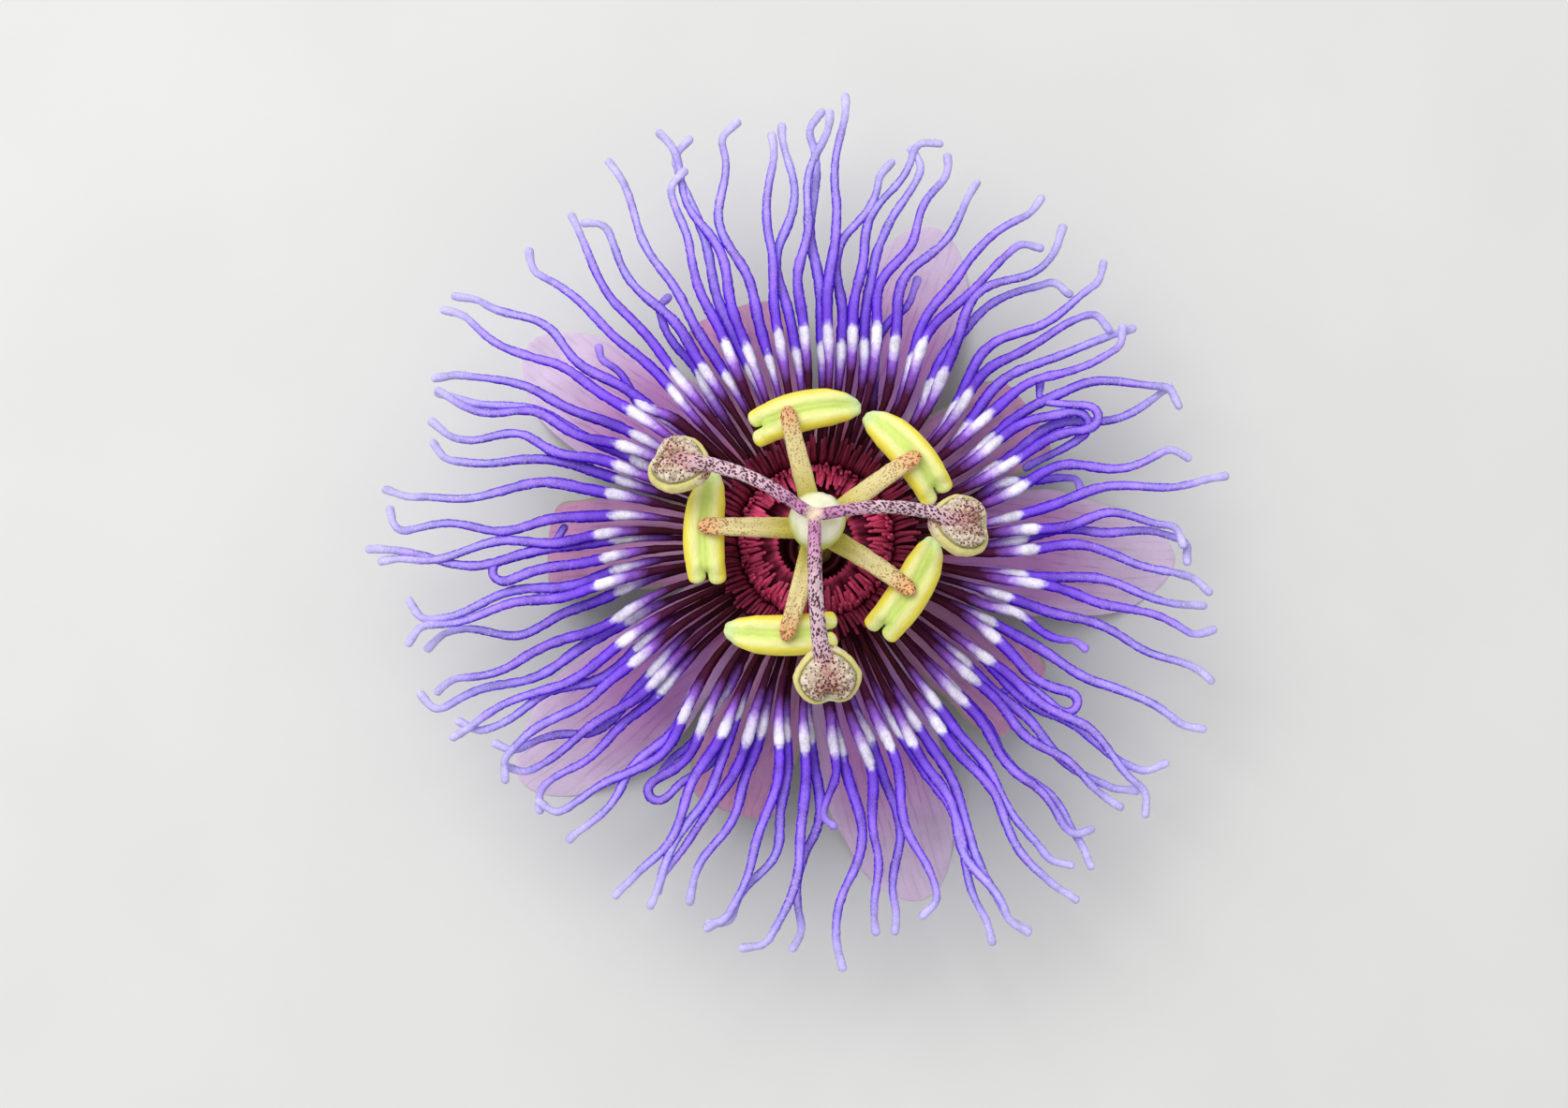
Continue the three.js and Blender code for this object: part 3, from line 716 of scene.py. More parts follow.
def finish_of(name, roughness, **constants):
    """A new material. Returns it, its tree and its shader, with the constants on the shader's sockets."""
    material = bpy.data.materials.new(name)
    material.use_nodes = True
    shader = material.node_tree.nodes["Principled BSDF"]
    shader.inputs["Roughness"].default_value = roughness
    for key, value in constants.items():
        shader.inputs[key.replace("_", " ")].default_value = value
    return material, material.node_tree, shader


def wire(tree, shader, base, height, strength, distance):
    """Links a colour and a relief to the shader."""
    tree.links.new(base, shader.inputs["Base Color"])
    bump = node(tree, "Bump", {"Height": height, "Strength": strength, "Distance": distance * MM})
    tree.links.new(bump.outputs["Normal"], shader.inputs["Normal"])


# ---- Finishes ----
BAND_FROM = -16  # millimetres out from the white band where the long filaments' ramp starts
BAND_TO = 32  # and where it ends


def fringe_finish(fringe):
    """Maroon root, white band and violet arm with a paler tip and a velvet of pale grains, painted light and
    shade across each filament and a painted highlight along its crest.
    """
    material, tree, shader = finish_of("Fringe_filaments", 0.7, Specular_IOR_Level=0.06)
    skin = skin_of(tree)
    uneven = unevenness(tree, skin, 1.6, 1.3)
    place = maths(tree, "ADD", attribute(tree, "from_band"), uneven)
    share = mapped(tree, place, BAND_FROM, BAND_TO, kind="LINEAR")
    stops = [
        (-9, fringe.root),
        (-5.4, fringe.mauve),
        (-3, fringe.inner),
        (-1.6, fringe.lilac),
        (-1, fringe.band),
        (0.8, fringe.band),
        (1.5, fringe.deep),
        (4.5, fringe.deep),
        (10, fringe.violet),
        (18, fringe.pale),
        (28, fringe.tip),
    ]
    striped = ramp(tree, share, [((mm - BAND_FROM) / (BAND_TO - BAND_FROM), rgb) for mm, rgb in stops])
    on_band = mapped(tree, maths(tree, "ABSOLUTE", place), 2.0, 0.9)
    dulled = mixed(tree, maths(tree, "MULTIPLY", on_band, attribute(tree, "dull")), striped, fringe.lilac)
    patches = mapped(tree, noise(tree, stretched(tree, skin, (0.45, 1, 1)), 0.8), 0.48, 0.68, 0.0, 0.5)
    base = mixed(tree, maths(tree, "MULTIPLY", patches, mapped(tree, place, 4.0, 10.0)), dulled, fringe.blush)
    lift = attribute(tree, "lift")
    tone = mapped(tree, attribute(tree, "tone"), 0.0, 1.0, 0.86, 1.16, kind="LINEAR")
    # Painted light and shade across each filament: its top lighter and paler, its sides and underside darker
    top_lit_sides_shaded = node(
        tree,
        "HueSaturation",
        {
            "Hue": mapped(tree, lift, 0.1, 1.0, 0.496, 0.51),
            "Saturation": mapped(tree, lift, 0.1, 1.0, 1.1, 0.9),
            "Value": maths(tree, "MULTIPLY", tone, mapped(tree, lift, 0.1, 1.0, 0.78, 1.14)),
            "Color": base,
        },
    )
    # Painted highlight along the top of each filament, stronger outwards from the band
    crest_highlight = maths(tree, "MULTIPLY", mapped(tree, lift, 0.55, 1.0), mapped(tree, place, 2.0, 10.0, 0.0, 0.44))
    pale_tip_and_highlight = maths(tree, "MAXIMUM", crest_highlight, attribute(tree, "end"))
    # Colour of the painted highlight, of the pale tip and of the grains, paler outwards
    highlight_tip_and_grain_colour = mixed(tree, mapped(tree, place, 7.0, 22.0), fringe.crest_highlight, fringe.pale_tip_and_highlight)
    highlighted_and_pale_tipped = mixed(tree, pale_tip_and_highlight, top_lit_sides_shaded.outputs["Color"], highlight_tip_and_grain_colour)
    tissue = placed_group(tree, "Tissue", {"Color": highlighted_and_pale_tipped, "Skin": skin, "Clouds": 0.4, "Cloud Scale": 0.5})
    grains = placed_group(
        tree,
        "Specks",
        {"Ground": tissue["Color"], "Speck": highlight_tip_and_grain_colour, "Skin": skin, "Scale": 2.6, "Size": 0.42, "Density": 0.5},
    )
    outer = maths(tree, "MULTIPLY", mapped(tree, place, 1.0, 10.0), 0.45)
    height = maths(tree, "ADD", tissue["Height"], grains["Mask"])
    wire(tree, shader, mixed(tree, outer, tissue["Color"], grains["Color"]), height, 0.5, 0.12)
    return material


def crimson_finish(fringe):
    """The short inner threads, their ring and the pleated collar: crimson, turning dark crimson in the
    painted shade that along holds.
    """
    material, tree, shader = finish_of("Inner_crimson", 0.6, Specular_IOR_Level=0.1)
    skin = skin_of(tree)
    base = mixed(tree, attribute(tree, "along"), fringe.crimson_dark, fringe.crimson)
    tissue = placed_group(tree, "Tissue", {"Color": base, "Skin": skin, "Clouds": 0.45, "Cloud Scale": 0.9})
    wire(tree, shader, tissue["Color"], tissue["Height"], 0.5, 0.2)
    return material


def ring_finish(fringe):
    """The ring that the long filaments grow from."""
    material, tree, shader = finish_of("Corona_ring", 0.7, Specular_IOR_Level=0.06)
    skin = skin_of(tree)
    base = mixed(tree, attribute(tree, "along"), fringe.crimson_dark, fringe.root)
    tissue = placed_group(tree, "Tissue", {"Color": base, "Skin": skin, "Clouds": 0.4, "Cloud Scale": 0.6})
    wire(tree, shader, tissue["Color"], tissue["Height"], 0.4, 0.2)
    return material


def petal_finish(tepals):
    """Rosy foot, mauve root and a pale lilac tip and edge, with fine veins."""
    material, tree, shader = finish_of("Petal_lilac", 0.5, Specular_IOR_Level=0.3)
    skin = skin_of(tree)
    along = attribute(tree, "along")
    foot = mixed(tree, mapped(tree, along, 0.04, 0.22), tepals.petal_foot, tepals.petal_root)
    base = mixed(tree, mapped(tree, along, 0.45, 0.95), foot, tepals.petal_tip)
    veins = placed_group(tree, "Veins", {"Skin": skin, "Spacing": 1.15, "Waver": 1.6})["Mask"]
    strength = maths(tree, "MULTIPLY", veins, mapped(tree, along, 0.5, 0.95, 0.5, 0.12))
    veined = mixed(tree, strength, base, tepals.petal_vein)
    edge = mapped(tree, attribute(tree, "side"), 0.6, 1.0, 0.0, 0.5)
    edged = mixed(tree, edge, veined, tepals.petal_tip)
    tissue = placed_group(
        tree, "Tissue", {"Color": edged, "Skin": skin, "Clouds": 0.16, "Cloud Scale": 0.22, "Cell Scale": 5.0}
    )
    height = maths(tree, "SUBTRACT", maths(tree, "MULTIPLY", tissue["Height"], 0.5), veins)
    wire(tree, shader, tissue["Color"], height, 0.45, 0.1)
    return material


def sepal_finish(tepals):
    """Pinkish mauve inside, with a green edge, tip and back."""
    material, tree, shader = finish_of("Sepal_mauve", 0.5, Specular_IOR_Level=0.35)
    skin = skin_of(tree)
    uneven = unevenness(tree, skin, 0.5, 0.2)
    edge = mapped(tree, maths(tree, "ADD", attribute(tree, "side"), uneven), 0.86, 1.06)
    tip = mapped(tree, attribute(tree, "along"), 0.88, 1.0)
    under = mapped(tree, attribute(tree, "face"), 0.2, -0.2)
    green = maths(tree, "MAXIMUM", maths(tree, "MAXIMUM", edge, tip), under)
    veins = placed_group(tree, "Veins", {"Skin": skin, "Spacing": 1.0, "Waver": 1.2})["Mask"]
    inside = mixed(tree, maths(tree, "MULTIPLY", veins, 0.35), tepals.sepal_inside, tepals.petal_vein)
    outside = mixed(tree, maths(tree, "MULTIPLY", veins, 0.4), tepals.sepal_green, tepals.green_pale)
    tissue = placed_group(
        tree,
        "Tissue",
        {"Color": mixed(tree, green, inside, outside), "Skin": skin, "Clouds": 0.2, "Cloud Scale": 0.25},
    )
    height = maths(tree, "SUBTRACT", maths(tree, "MULTIPLY", tissue["Height"], 0.5), veins)
    wire(tree, shader, tissue["Color"], height, 0.4, 0.12)
    return material


def green_finish(tepals, fringe):
    """Cup, bracts and stalk: fresh green with paler ribs, and dark crimson inside the cup."""
    material, tree, shader = finish_of("Green_tissue", 0.55, Specular_IOR_Level=0.3)
    skin = skin_of(tree)
    green = mixed(tree, attribute(tree, "along"), tepals.green, tepals.green_pale)
    tissue = placed_group(
        tree, "Tissue", {"Color": green, "Skin": skin, "Clouds": 0.25, "Cloud Scale": 0.35, "Cell Scale": 3.0}
    )
    specked = placed_group(
        tree,
        "Specks",
        {
            "Ground": tissue["Color"],
            "Speck": tepals.green_pale,
            "Skin": skin,
            "Scale": 1.1,
            "Size": 0.2,
            "Density": 0.35,
        },
    )
    base = mixed(tree, attribute(tree, "inside"), specked["Color"], fringe.crimson_dark)
    wire(tree, shader, base, tissue["Height"], 0.5, 0.2)
    return material


def strap_finish(stamens):
    """The stamens' straps and their column: olive yellow, tan to the tip, with red-brown specks."""
    material, tree, shader = finish_of("Stamen_strap", 0.5, Specular_IOR_Level=0.4)
    skin = skin_of(tree)
    along = attribute(tree, "along")
    stops = [
        (0.16, stamens.strap),
        (0.45, stamens.strap_middle),
        (0.7, stamens.strap_middle),
        (0.91, stamens.strap_tip),
    ]
    streaks = stretched(tree, skin, (0.12, 1.4, 1.4))
    tissue = placed_group(
        tree,
        "Tissue",
        {
            "Color": ramp(tree, along, stops),
            "Skin": streaks,
            "Clouds": 0.22,
            "Cloud Scale": 0.8,
            "Cell Scale": 2.0,
        },
    )
    to_tip = mapped(tree, along, 0.6, 0.95)
    specks = placed_group(
        tree,
        "Specks",
        {
            "Ground": tissue["Color"],
            "Speck": mixed(tree, to_tip, stamens.strap_speck, stamens.strap_tip_speck),
            "Skin": stretched(tree, skin, (0.85, 1, 1)),
            "Scale": 3.9,
            "Size": mapped(tree, along, 0.3, 0.95, 0.3, 0.45),
            "Density": mapped(tree, along, 0.3, 0.85, 0.5, 1.0),
        },
    )
    height = maths(tree, "ADD", tissue["Height"], maths(tree, "MULTIPLY", specks["Mask"], 0.6))
    wire(tree, shader, specks["Color"], height, 0.4, 0.12)
    return material


def anther_finish(stamens):
    """Lime stripe along the back, pale lobes, yellow flanks, and the grain of pollen."""
    material, tree, shader = finish_of("Anther_lime", 0.6, Specular_IOR_Level=0.2)
    skin = skin_of(tree)
    drawn_out = stretched(tree, skin, (0.25, 1, 1))
    uneven = unevenness(tree, drawn_out, 1.3, 0.22)
    stops = [
        (0.03, stamens.anther_stripe),
        (0.12, stamens.anther_stripe),
        (0.38, stamens.anther_lobe),
        (0.5, stamens.anther_lobe),
        (0.72, stamens.anther_flank),
        (0.92, stamens.anther_flank),
        (1.0, stamens.anther_edge),
    ]
    striped = ramp(tree, maths(tree, "ADD", attribute(tree, "side"), uneven), stops)
    base = mixed(tree, attribute(tree, "nib"), striped, stamens.anther_nib)
    tissue = placed_group(
        tree,
        "Tissue",
        {"Color": base, "Skin": drawn_out, "Clouds": 0.18, "Cloud Scale": 0.7, "Cell Scale": 4.0},
    )
    wire(tree, shader, tissue["Color"], tissue["Height"], 0.4, 0.1)
    return material


def ovary_finish(pistil):
    """Waxy and pale green, with a painted highlight in near-white cream on its crown."""
    material, tree, shader = finish_of("Ovary_cream", 0.4, Specular_IOR_Level=0.4)
    skin = skin_of(tree)
    flecked = unevenness(tree, skin, 0.35, 0.5)
    # Painted highlight over the top of the ovary
    crown = mapped(tree, maths(tree, "ADD", attribute(tree, "along"), flecked), 0.66, 1.02)
    tissue = placed_group(
        tree,
        "Tissue",
        {
            "Color": mixed(tree, crown, pistil.ovary, pistil.ovary_top_highlight),
            "Skin": skin,
            "Clouds": 0.1,
            "Cloud Scale": 0.4,
            "Cell Scale": 3.0,
        },
    )
    wire(tree, shader, tissue["Color"], tissue["Height"], 0.25, 0.1)
    return material


DASH_SLANT = math.radians(22)  # how far the dashes on the styles slant


def style_finish(pistil):
    """Cream where the styles meet, then mauve and pale pink, with dense dark dashes."""
    material, tree, shader = finish_of("Style_speckled", 0.5, Specular_IOR_Level=0.3)
    skin = skin_of(tree)
    along = attribute(tree, "along")
    stops = [
        (0.03, pistil.joint),
        (0.08, pistil.style_root),
        (0.14, pistil.style_root),
        (0.42, pistil.style),
        (0.76, pistil.style),
        (0.95, pistil.stigma_middle),
    ]
    tissue = placed_group(
        tree,
        "Tissue",
        {
            "Color": ramp(tree, along, stops),
            "Skin": skin,
            "Clouds": 0.26,
            "Cloud Scale": 0.8,
            "Cell Scale": 3.0,
        },
    )
    slanted = node(tree, "VectorRotate", {"Vector": skin, "Angle": DASH_SLANT}, rotation_type="Z_AXIS")
    specks = placed_group(
        tree,
        "Specks",
        {
            "Ground": tissue["Color"],
            "Speck": mixed(tree, mapped(tree, along, 0.1, 0.35), pistil.dash_root, pistil.dash),
            "Skin": stretched(tree, slanted.outputs["Vector"], (0.7, 1.15, 1.15)),
            "Scale": 3.2,
            "Size": mapped(tree, along, 0.03, 0.08, 0.2, 0.47),
            "Density": mapped(tree, along, 0.03, 0.06, 0.5, 1.0),
        },
    )
    wire(tree, shader, specks["Color"], tissue["Height"], 0.35, 0.1)
    return material


def stigma_finish(pistil):
    """Specked pink-cream cushion, brown in its middle, inside a smooth yellow rim, with painted shade in its
    furrows and in the groove inside the rim.
    """
    material, tree, shader = finish_of("Stigma_velvet", 0.65, Specular_IOR_Level=0.2)
    skin = skin_of(tree)
    uneven = mapped(tree, noise(tree, skin, 1.1), 0.3, 0.6, 0.45, 1.0)
    brown = maths(tree, "MULTIPLY", attribute(tree, "middle"), uneven)
    base = mixed(tree, brown, pistil.stigma, pistil.stigma_middle)
    # Painted shade in the furrows between the cushion's lumps
    furrow_shaded = mixed(tree, maths(tree, "MULTIPLY", attribute(tree, "furrow_shade"), 0.85), base, pistil.stigma_pit)
    tissue = placed_group(
        tree,
        "Tissue",
        {"Color": furrow_shaded, "Skin": skin, "Clouds": 0.35, "Cloud Scale": 1.2, "Cell Scale": 4.0},
    )
    specks = placed_group(
        tree,
        "Specks",
        {
            "Ground": tissue["Color"],
            "Speck": pistil.stigma_speck,
            "Skin": skin,
            "Scale": 2.7,
            "Size": mapped(tree, attribute(tree, "middle"), 0.0, 1.0, 0.34, 0.46),
            "Density": mapped(tree, attribute(tree, "middle"), 0.0, 0.8, 0.7, 1.0),
        },
    )
    rim = placed_group(
        tree, "Tissue", {"Color": pistil.stigma_rim, "Skin": skin, "Clouds": 0.18, "Cloud Scale": 0.7}
    )
    edged = mixed(tree, attribute(tree, "rim"), specks["Color"], rim["Color"])
    # Painted shade in the groove between the rim and the cushion
    groove_shaded = mixed(tree, attribute(tree, "groove"), edged, pistil.stigma_groove)
    notched = mixed(tree, attribute(tree, "notch"), groove_shaded, pistil.stigma_notch)
    wire(tree, shader, notched, tissue["Height"], 0.5, 0.15)
    return material


# ---- The long fringe ----
# How the fringe lies round the flower, at every 30 degrees anticlockwise from +X: how far its
# tips reach, how strongly its filaments bow anticlockwise, and how far they lean (in radians).
REACHES = [49.5, 49.5, 50.5, 54, 53, 52.5, 53.5, 51.5, 48.5, 51, 52.5, 51.5]
BOWS = [0.1, 0.3, 0.36, 0.12, 0, -0.06, 0.05, 0.22, 0.22, 0.24, 0.06, -0.1]
LEANS = [0.08, -0.04, 0, -0.02, -0.02, 0.12, 0.2, 0, -0.1, -0.08, 0, -0.1]
FOLDED_BEARINGS = [18, 25.5, 186, 236, 331]  # degrees where a filament folds back on itself
STUNTED_BEARINGS = [14, 67, 126, 138, 173, 239, 273, 339]  # degrees where one is much shorter
FIRST_FILAMENT = 3  # bearing in degrees
PAIRING = 0.34  # share of the spacing by which the lower series lies off the upper
FRINGE_SEED = 2026
WALK_STEPS = 120  # steps along a filament
FILAMENT_SIDES = 10
ROOT_FOOT = 1.8  # how far a filament's foot shows on top of the ring
FOOT_STEPS = 5
FOLDED_SINK = 1.7  # how far a folded filament's tip sinks between its neighbours
FOLDED_PALEST = 11  # millimetres from the band: a folded filament grows no paler than it is there
TIP_PALENESS = 0.68  # how far a filament's tip turns to its own pale colour, which the painted highlight on its crest also takes
FLATTENED = 0.92  # a filament's height as a share of its width
STUNTED_REACH = 0.62  # a stunted filament's length as a share of a full one's
FOLD_TURN = 2.95  # radians by which a folded filament turns back
BAND_WAVE = 0.9  # how far the white bands wander in and out, in five waves round the flower
BAND_WAVE_BEARING = 71.5  # degrees at which the bands lie furthest out
BAND_STEP = 1.9  # how far the lower series' bands lie inside the upper's
# Where the upper and the lower series start, and how their slope changes from its first value to its
# second between two shares of the length.
SERIES = [
    {"root": 11.3, "height": 20.6, "slopes": (0.08, -0.07), "between": (0.1, 0.7)},
    {"root": 11.9, "height": 19.3, "slopes": (0.04, -0.06), "between": (0.2, 0.8)},
]


def round_the_rim(values, bearing):
    """The value at a bearing, from values at even steps round the flower."""
    place = (((bearing / TAU) % 1) + 1) * len(values)
    index = math.floor(place)
    here, there = values[index % len(values)], values[(index + 1) % len(values)]
    return mix(here, there, smooth(place - index, 0, 1))


def is_at(bearings, bearing, tolerance):
    """Whether a bearing is near one of the bearings given in degrees."""
    return any(abs(math.radians(degrees) - bearing) < tolerance for degrees in bearings)


def filament_path(series, index, draw):
    """The centre line of one long filament, by the model's own rule and draws, in finer steps."""
    rule = SERIES[series]
    pitch_angle = TAU / PER_SERIES
    pitches = index + PAIRING * series + stray(draw, 0.36)
    bearing = math.radians(FIRST_FILAMENT) + pitch_angle * pitches
    folded = series == 0 and is_at(FOLDED_BEARINGS, bearing, pitch_angle / 2)
    stunted = not folded and is_at(STUNTED_BEARINGS, bearing, pitch_angle / 4)
    root = rule["root"]
    full_reach = round_the_rim(REACHES, bearing) - root
    reach = full_reach * (STUNTED_REACH if stunted else 0.93 + 0.14 * next(draw))
    bow = round_the_rim(BOWS, bearing) + stray(draw, 0.16)
    lean = round_the_rim(LEANS, bearing) + stray(draw, 0.14)
    wave = 0.12 + 0.22 * next(draw)
    waves = 2.1 + 1.1 * next(draw)
    phase = next(draw)
    bob = 0.08 + 0.1 * next(draw)
    bob_phase = next(draw)
    rise = stray(draw, 0.06)
    hook = 2.6 * (next(draw) - 0.62)
    fold = (FOLD_TURN if next(draw) < 0.5 else -FOLD_TURN) if folded else 0
    bend = stray(draw, 0.45)

    share = (np.arange(WALK_STEPS) + 0.5) / WALK_STEPS
    free = smooth(share, 0.28, 0.6)
    heading = (
        lean * smooth(share, 0.1, 0.5)
        + bow * np.sin(TAU * np.maximum((share - 0.15) / 0.85, 0))
        + wave * free * np.sin(TAU * (waves * share + phase))
        + bend * smooth(share, 0.66, 0.72)
        + hook * smooth(share, 0.9, 0.97)
        + fold * smooth(share, 0.64, 0.8)
    )
    slope = mix(*rule["slopes"], smooth(share, *rule["between"]))
    pitch = slope + rise + bob * free * np.sin(TAU * (1.9 * share + bob_phase))
    step = reach / WALK_STEPS
    out = root + np.concatenate([[0], np.cumsum(step * np.cos(heading) * np.cos(pitch))])
    side = np.concatenate([[0], np.cumsum(step * np.sin(heading) * np.cos(pitch))])
    height = rule["height"] + np.concatenate([[0], np.cumsum(step * np.sin(pitch))])
    if folded:
        height[1:] -= FOLDED_SINK * smooth(share, 0.84, 1)
    return around(bearing, out, side, height), bearing, root, folded


def filament_width(share, fringe):
    """Width along a filament: thin at the root, widest past the band, with a slightly knobbed tip."""
    root, band, tip = fringe.root_width / MM, fringe.band_width / MM, fringe.tip_width / MM
    inner = mix(root, band, smooth(share, 0.1, 0.35))
    outer = mix(band, tip, smooth(share, 0.35, 1))
    knob = 1 + 0.12 * smooth(share, 0.955, 0.985)
    return np.where(share < 0.35, inner, outer) * knob


def fringe_shells(fringe):
    """The upper and the lower series of long filaments."""
    draw = draws_from(FRINGE_SEED)
    random = np.random.default_rng(FRINGE_SEED)
    shells = []
    share = np.linspace(0, 1, WALK_STEPS + 1)
    for series in range(len(SERIES)):
        shell = Shell()
        for index in range(PER_SERIES):
            path, bearing, root, folded = filament_path(series, index, draw)
            inwards = np.linspace(ROOT_FOOT, 0, FOOT_STEPS, endpoint=False)[:, None]
            path = np.concatenate([path[:1] - inwards * around(bearing, 1, 0, 0), path])
            half = filament_width(share, fringe) / 2
            lumps = soft_noise(random, len(share), 24) + 0.6 * soft_noise(random, len(share), 64)
            half = np.concatenate([np.full(FOOT_STEPS, half[0]), half * (1 + fringe.lumps * lumps)])
            rough = np.concatenate([np.full(FOOT_STEPS, 0.3), 0.3 + 0.7 * smooth(share, 0.2, 0.4)])[:, None]
            velvet = 1 + random.uniform(-0.06, 0.06, (len(path), FILAMENT_SIDES)) * rough
            points, faces, skin = tube(
                path, half, half * FLATTENED, FILAMENT_SIDES, bumps=velvet, caps=(False, True)
            )
            turn = np.tile(even_turns(FILAMENT_SIDES), len(points) // FILAMENT_SIDES)
            ring_wave = BAND_WAVE * math.cos(WHORL * (bearing - math.radians(BAND_WAVE_BEARING)))
            band_at = fringe.band_radius / MM + ring_wave - BAND_STEP * series + random.uniform(-1, 1)
            from_band = (root - ROOT_FOOT + skin[:, 0] - band_at) / random.uniform(0.85, 1.25)
            if folded:
                from_band = np.minimum(from_band, FOLDED_PALEST)
            oval = 0.7 * np.cos(turn) ** 2 * np.clip(from_band, -1, 1)
            shell.add(
                points,
                faces,
                skin=skin + [31.0 * index + 7.0 * series, 0, 13.0 * index],
                from_band=from_band + oval,
                # lift runs from the section's underside, -1, to its top, 1: the finish paints light and shade
                # by it
                lift=np.sin(turn),
                tone=random.uniform(0, 1),
                dull=random.uniform(0.1, 0.4) * (1 - 0.7 * series),
                end=TIP_PALENESS * smooth(skin[:, 0] / skin[:, 0].max(), 0.8, 0.98) * (0.2 if folded else 1),
            )
        shells.append(shell)
    return shells


def corona_ring_shell():
    """The ring under the long filaments, with a swelling at each root."""
    top = CORONA_TOP_Z - 0.9
    inner = CORONA_INNER - 0.4
    profile = rounded(
        [
            (inner, CORONA_BASE_Z),
            (CORONA_OUTER, CORONA_BASE_Z),
            (CORONA_OUTER, top - 0.5),
            (CORONA_OUTER - 0.6, top),
            (inner, top),
            (inner, CORONA_BASE_Z),
        ],
        29,
    )

    def relief(turn, radius, height):
        swell = 0.5 + 0.5 * np.cos(PER_SERIES * (turn - math.radians(FIRST_FILAMENT)))
        upper = smooth(height, CORONA_BASE_Z, top)
        return radius + 0.12 * swell * upper, height + 0.25 * swell * upper

    points, faces = lathe(profile, PER_SERIES * 6, relief)
    return Shell(points, faces, skin=points, along=smooth(points[:, 2], CORONA_BASE_Z, top + 0.2))


# Each row of inner threads: places round the ring, route from foot to tip (distance and height), how brightly
# it is painted as lit (the dim outer row is in painted shade), and the radius of a thread at its foot and at
# its tip.
INNER_ROWS = [
    {"count": 26, "route": [(9.6, 19), (10.1, 22.3), (12.3, 23.3)], "lit": 0.22, "thick": (0.28, 0.19)},
    {"count": 24, "route": [(9.2, 19), (9.4, 21), (8.8, 22.4)], "lit": 0.78, "thick": (0.29, 0.2)},
    {"count": 22, "route": [(8.7, 19), (8.9, 21.2), (6.9, 22.1)], "lit": 1.0, "thick": (0.29, 0.21)},
]
INNER_SEED = 9
THREADS_FOR_ONE = 6  # fine threads at each place, where the model has one
THREAD_FOOT_Z = 18.9  # height from which threads are stretched or shortened
THREAD_RINGS = 19
THREAD_SIDES = 8


def strays_of_corners(draw):
    """How far the corners of one thread's curve stray from its row's: least at the foot."""
    strays = np.array([[stray(draw, 1), stray(draw, 1)] for _ in range(4)])
    return strays * [[0.1, 0], [0.7, 0.5], [0.7, 0.5], [1.3, 0.7]]


def inner_corona_shell():
    """Rows of short crimson threads on their ring, more and finer than the model's two rows."""
    inner, outer, base, top = 8.2, CORONA_INNER - 0.3, CORONA_BASE_Z, CORONA_BASE_Z + 1
    profile = rounded([(inner, base), (outer, base), (outer, top), (inner, top), (inner, base)], 21)
    points, faces = lathe(profile, 180)
    # The ring under the threads is dark crimson, partly its own colour and partly painted shade
    shell = Shell(points, faces, skin=points, along=0.05)
    draw = draws_from(INNER_SEED)
    random = np.random.default_rng(INNER_SEED)
    share = np.linspace(0, 1, THREAD_RINGS)
    for row in INNER_ROWS:
        foot, bend, tip = row["route"]
        corners = np.array([foot, bend, bend, tip], float)
        count = row["count"] * THREADS_FOR_ONE
        for k in range(count):
            bearing = TAU * (k + stray(draw, 0.9)) / count
            stretch = 0.85 + 0.3 * next(draw)
            lean = stray(draw, 0.6)
            line = bezier(corners + strays_of_corners(draw), share)
            height = THREAD_FOOT_Z + (line[:, 1] - THREAD_FOOT_Z) * mix(1, stretch, share)
            path = around(bearing, line[:, 0], lean * share**2, height)
            half = mix(*row["thick"], share) * (1 + 0.16 * soft_noise(random, len(share), 6))
            points, faces, skin = tube(path, half, half, THREAD_SIDES, caps=(False, True))
            # Painted light kept in along: each row's brightness, uneven round the ring, falling towards the
            # dark foot, which is partly the threads' own colour and partly painted shade
            patchy = (0.9 + 0.25 * math.sin(5 * bearing)) * random.uniform(0.55, 1.3)
            lit = row["lit"] * patchy * mix(0.25, 1, smooth(skin[:, 0] / skin[:, 0].max(), 0.0, 0.7))
            shell.add(points, faces, skin=skin + [17.0 * k, 0, 5.0 * k], along=np.clip(lit, 0, 1))
    return shell


def operculum_shell():
    """The pleated collar that closes the nectar chamber, with a frayed lip."""
    outer = 7.7
    base = CUP_LEDGE_Z + 0.3
    pleats = 16
    profile = rounded(
        [
            (6.7, base),
            (outer, base),
            (outer - 0.2, base + 1),
            (5.9, base + 2.5),
            (4.6, base + 2.9),
            (4.6, base + 2.2),
            (5.6, base + 1.7),
            (6.7, base),
        ],
        43,
    )

    def relief(turn, radius, height):
        lift = smooth(height, base, base + 2)
        fine = 0.1 * np.cos(3 * pleats * turn) + 0.05 * np.cos(7 * pleats * turn + 1)
        return radius - fine * lift * 1.2, height + (0.22 * np.cos(pleats * turn) + fine) * lift

    points, faces = lathe(profile, pleats * 24, relief)
    turn = np.arctan2(points[:, 1], points[:, 0])
    # Painted light and shade kept in along: pleat crests lighter than their hollows, the collar darker low
    # down and lit on its lip
    crest_highlight = 0.5 + 0.3 * np.cos(pleats * turn) + 0.2 * np.cos(3 * pleats * turn)
    lip = smooth(5.6 - np.hypot(points[:, 0], points[:, 1]), 0, 0.7)
    lit = mix(crest_highlight * 0.5 * smooth(points[:, 2], base, base + 2.4), 0.55 + 0.45 * crest_highlight, lip)
    return Shell(points, faces, skin=points, along=lit)


# ---- Petals and sepals ----
STRAIGHT_ROWS = 56  # rows from the foot to where the tip starts
TIP_ROWS = 26
TIP_FROM = 0.6  # share of the length where the outline starts to round off
COLUMNS = 33  # from edge to edge
LENGTH_SCALE = 40  # millimetres of skin from a petal's or sepal's foot to its tip
TIP_TURN = math.radians(88)  # the rows round the tip stop just short of a right angle
EDGE_ROLL = 0.9  # how far its edges roll down
BEARING_STRAY = 4  # degrees between the furthest places where one may stand


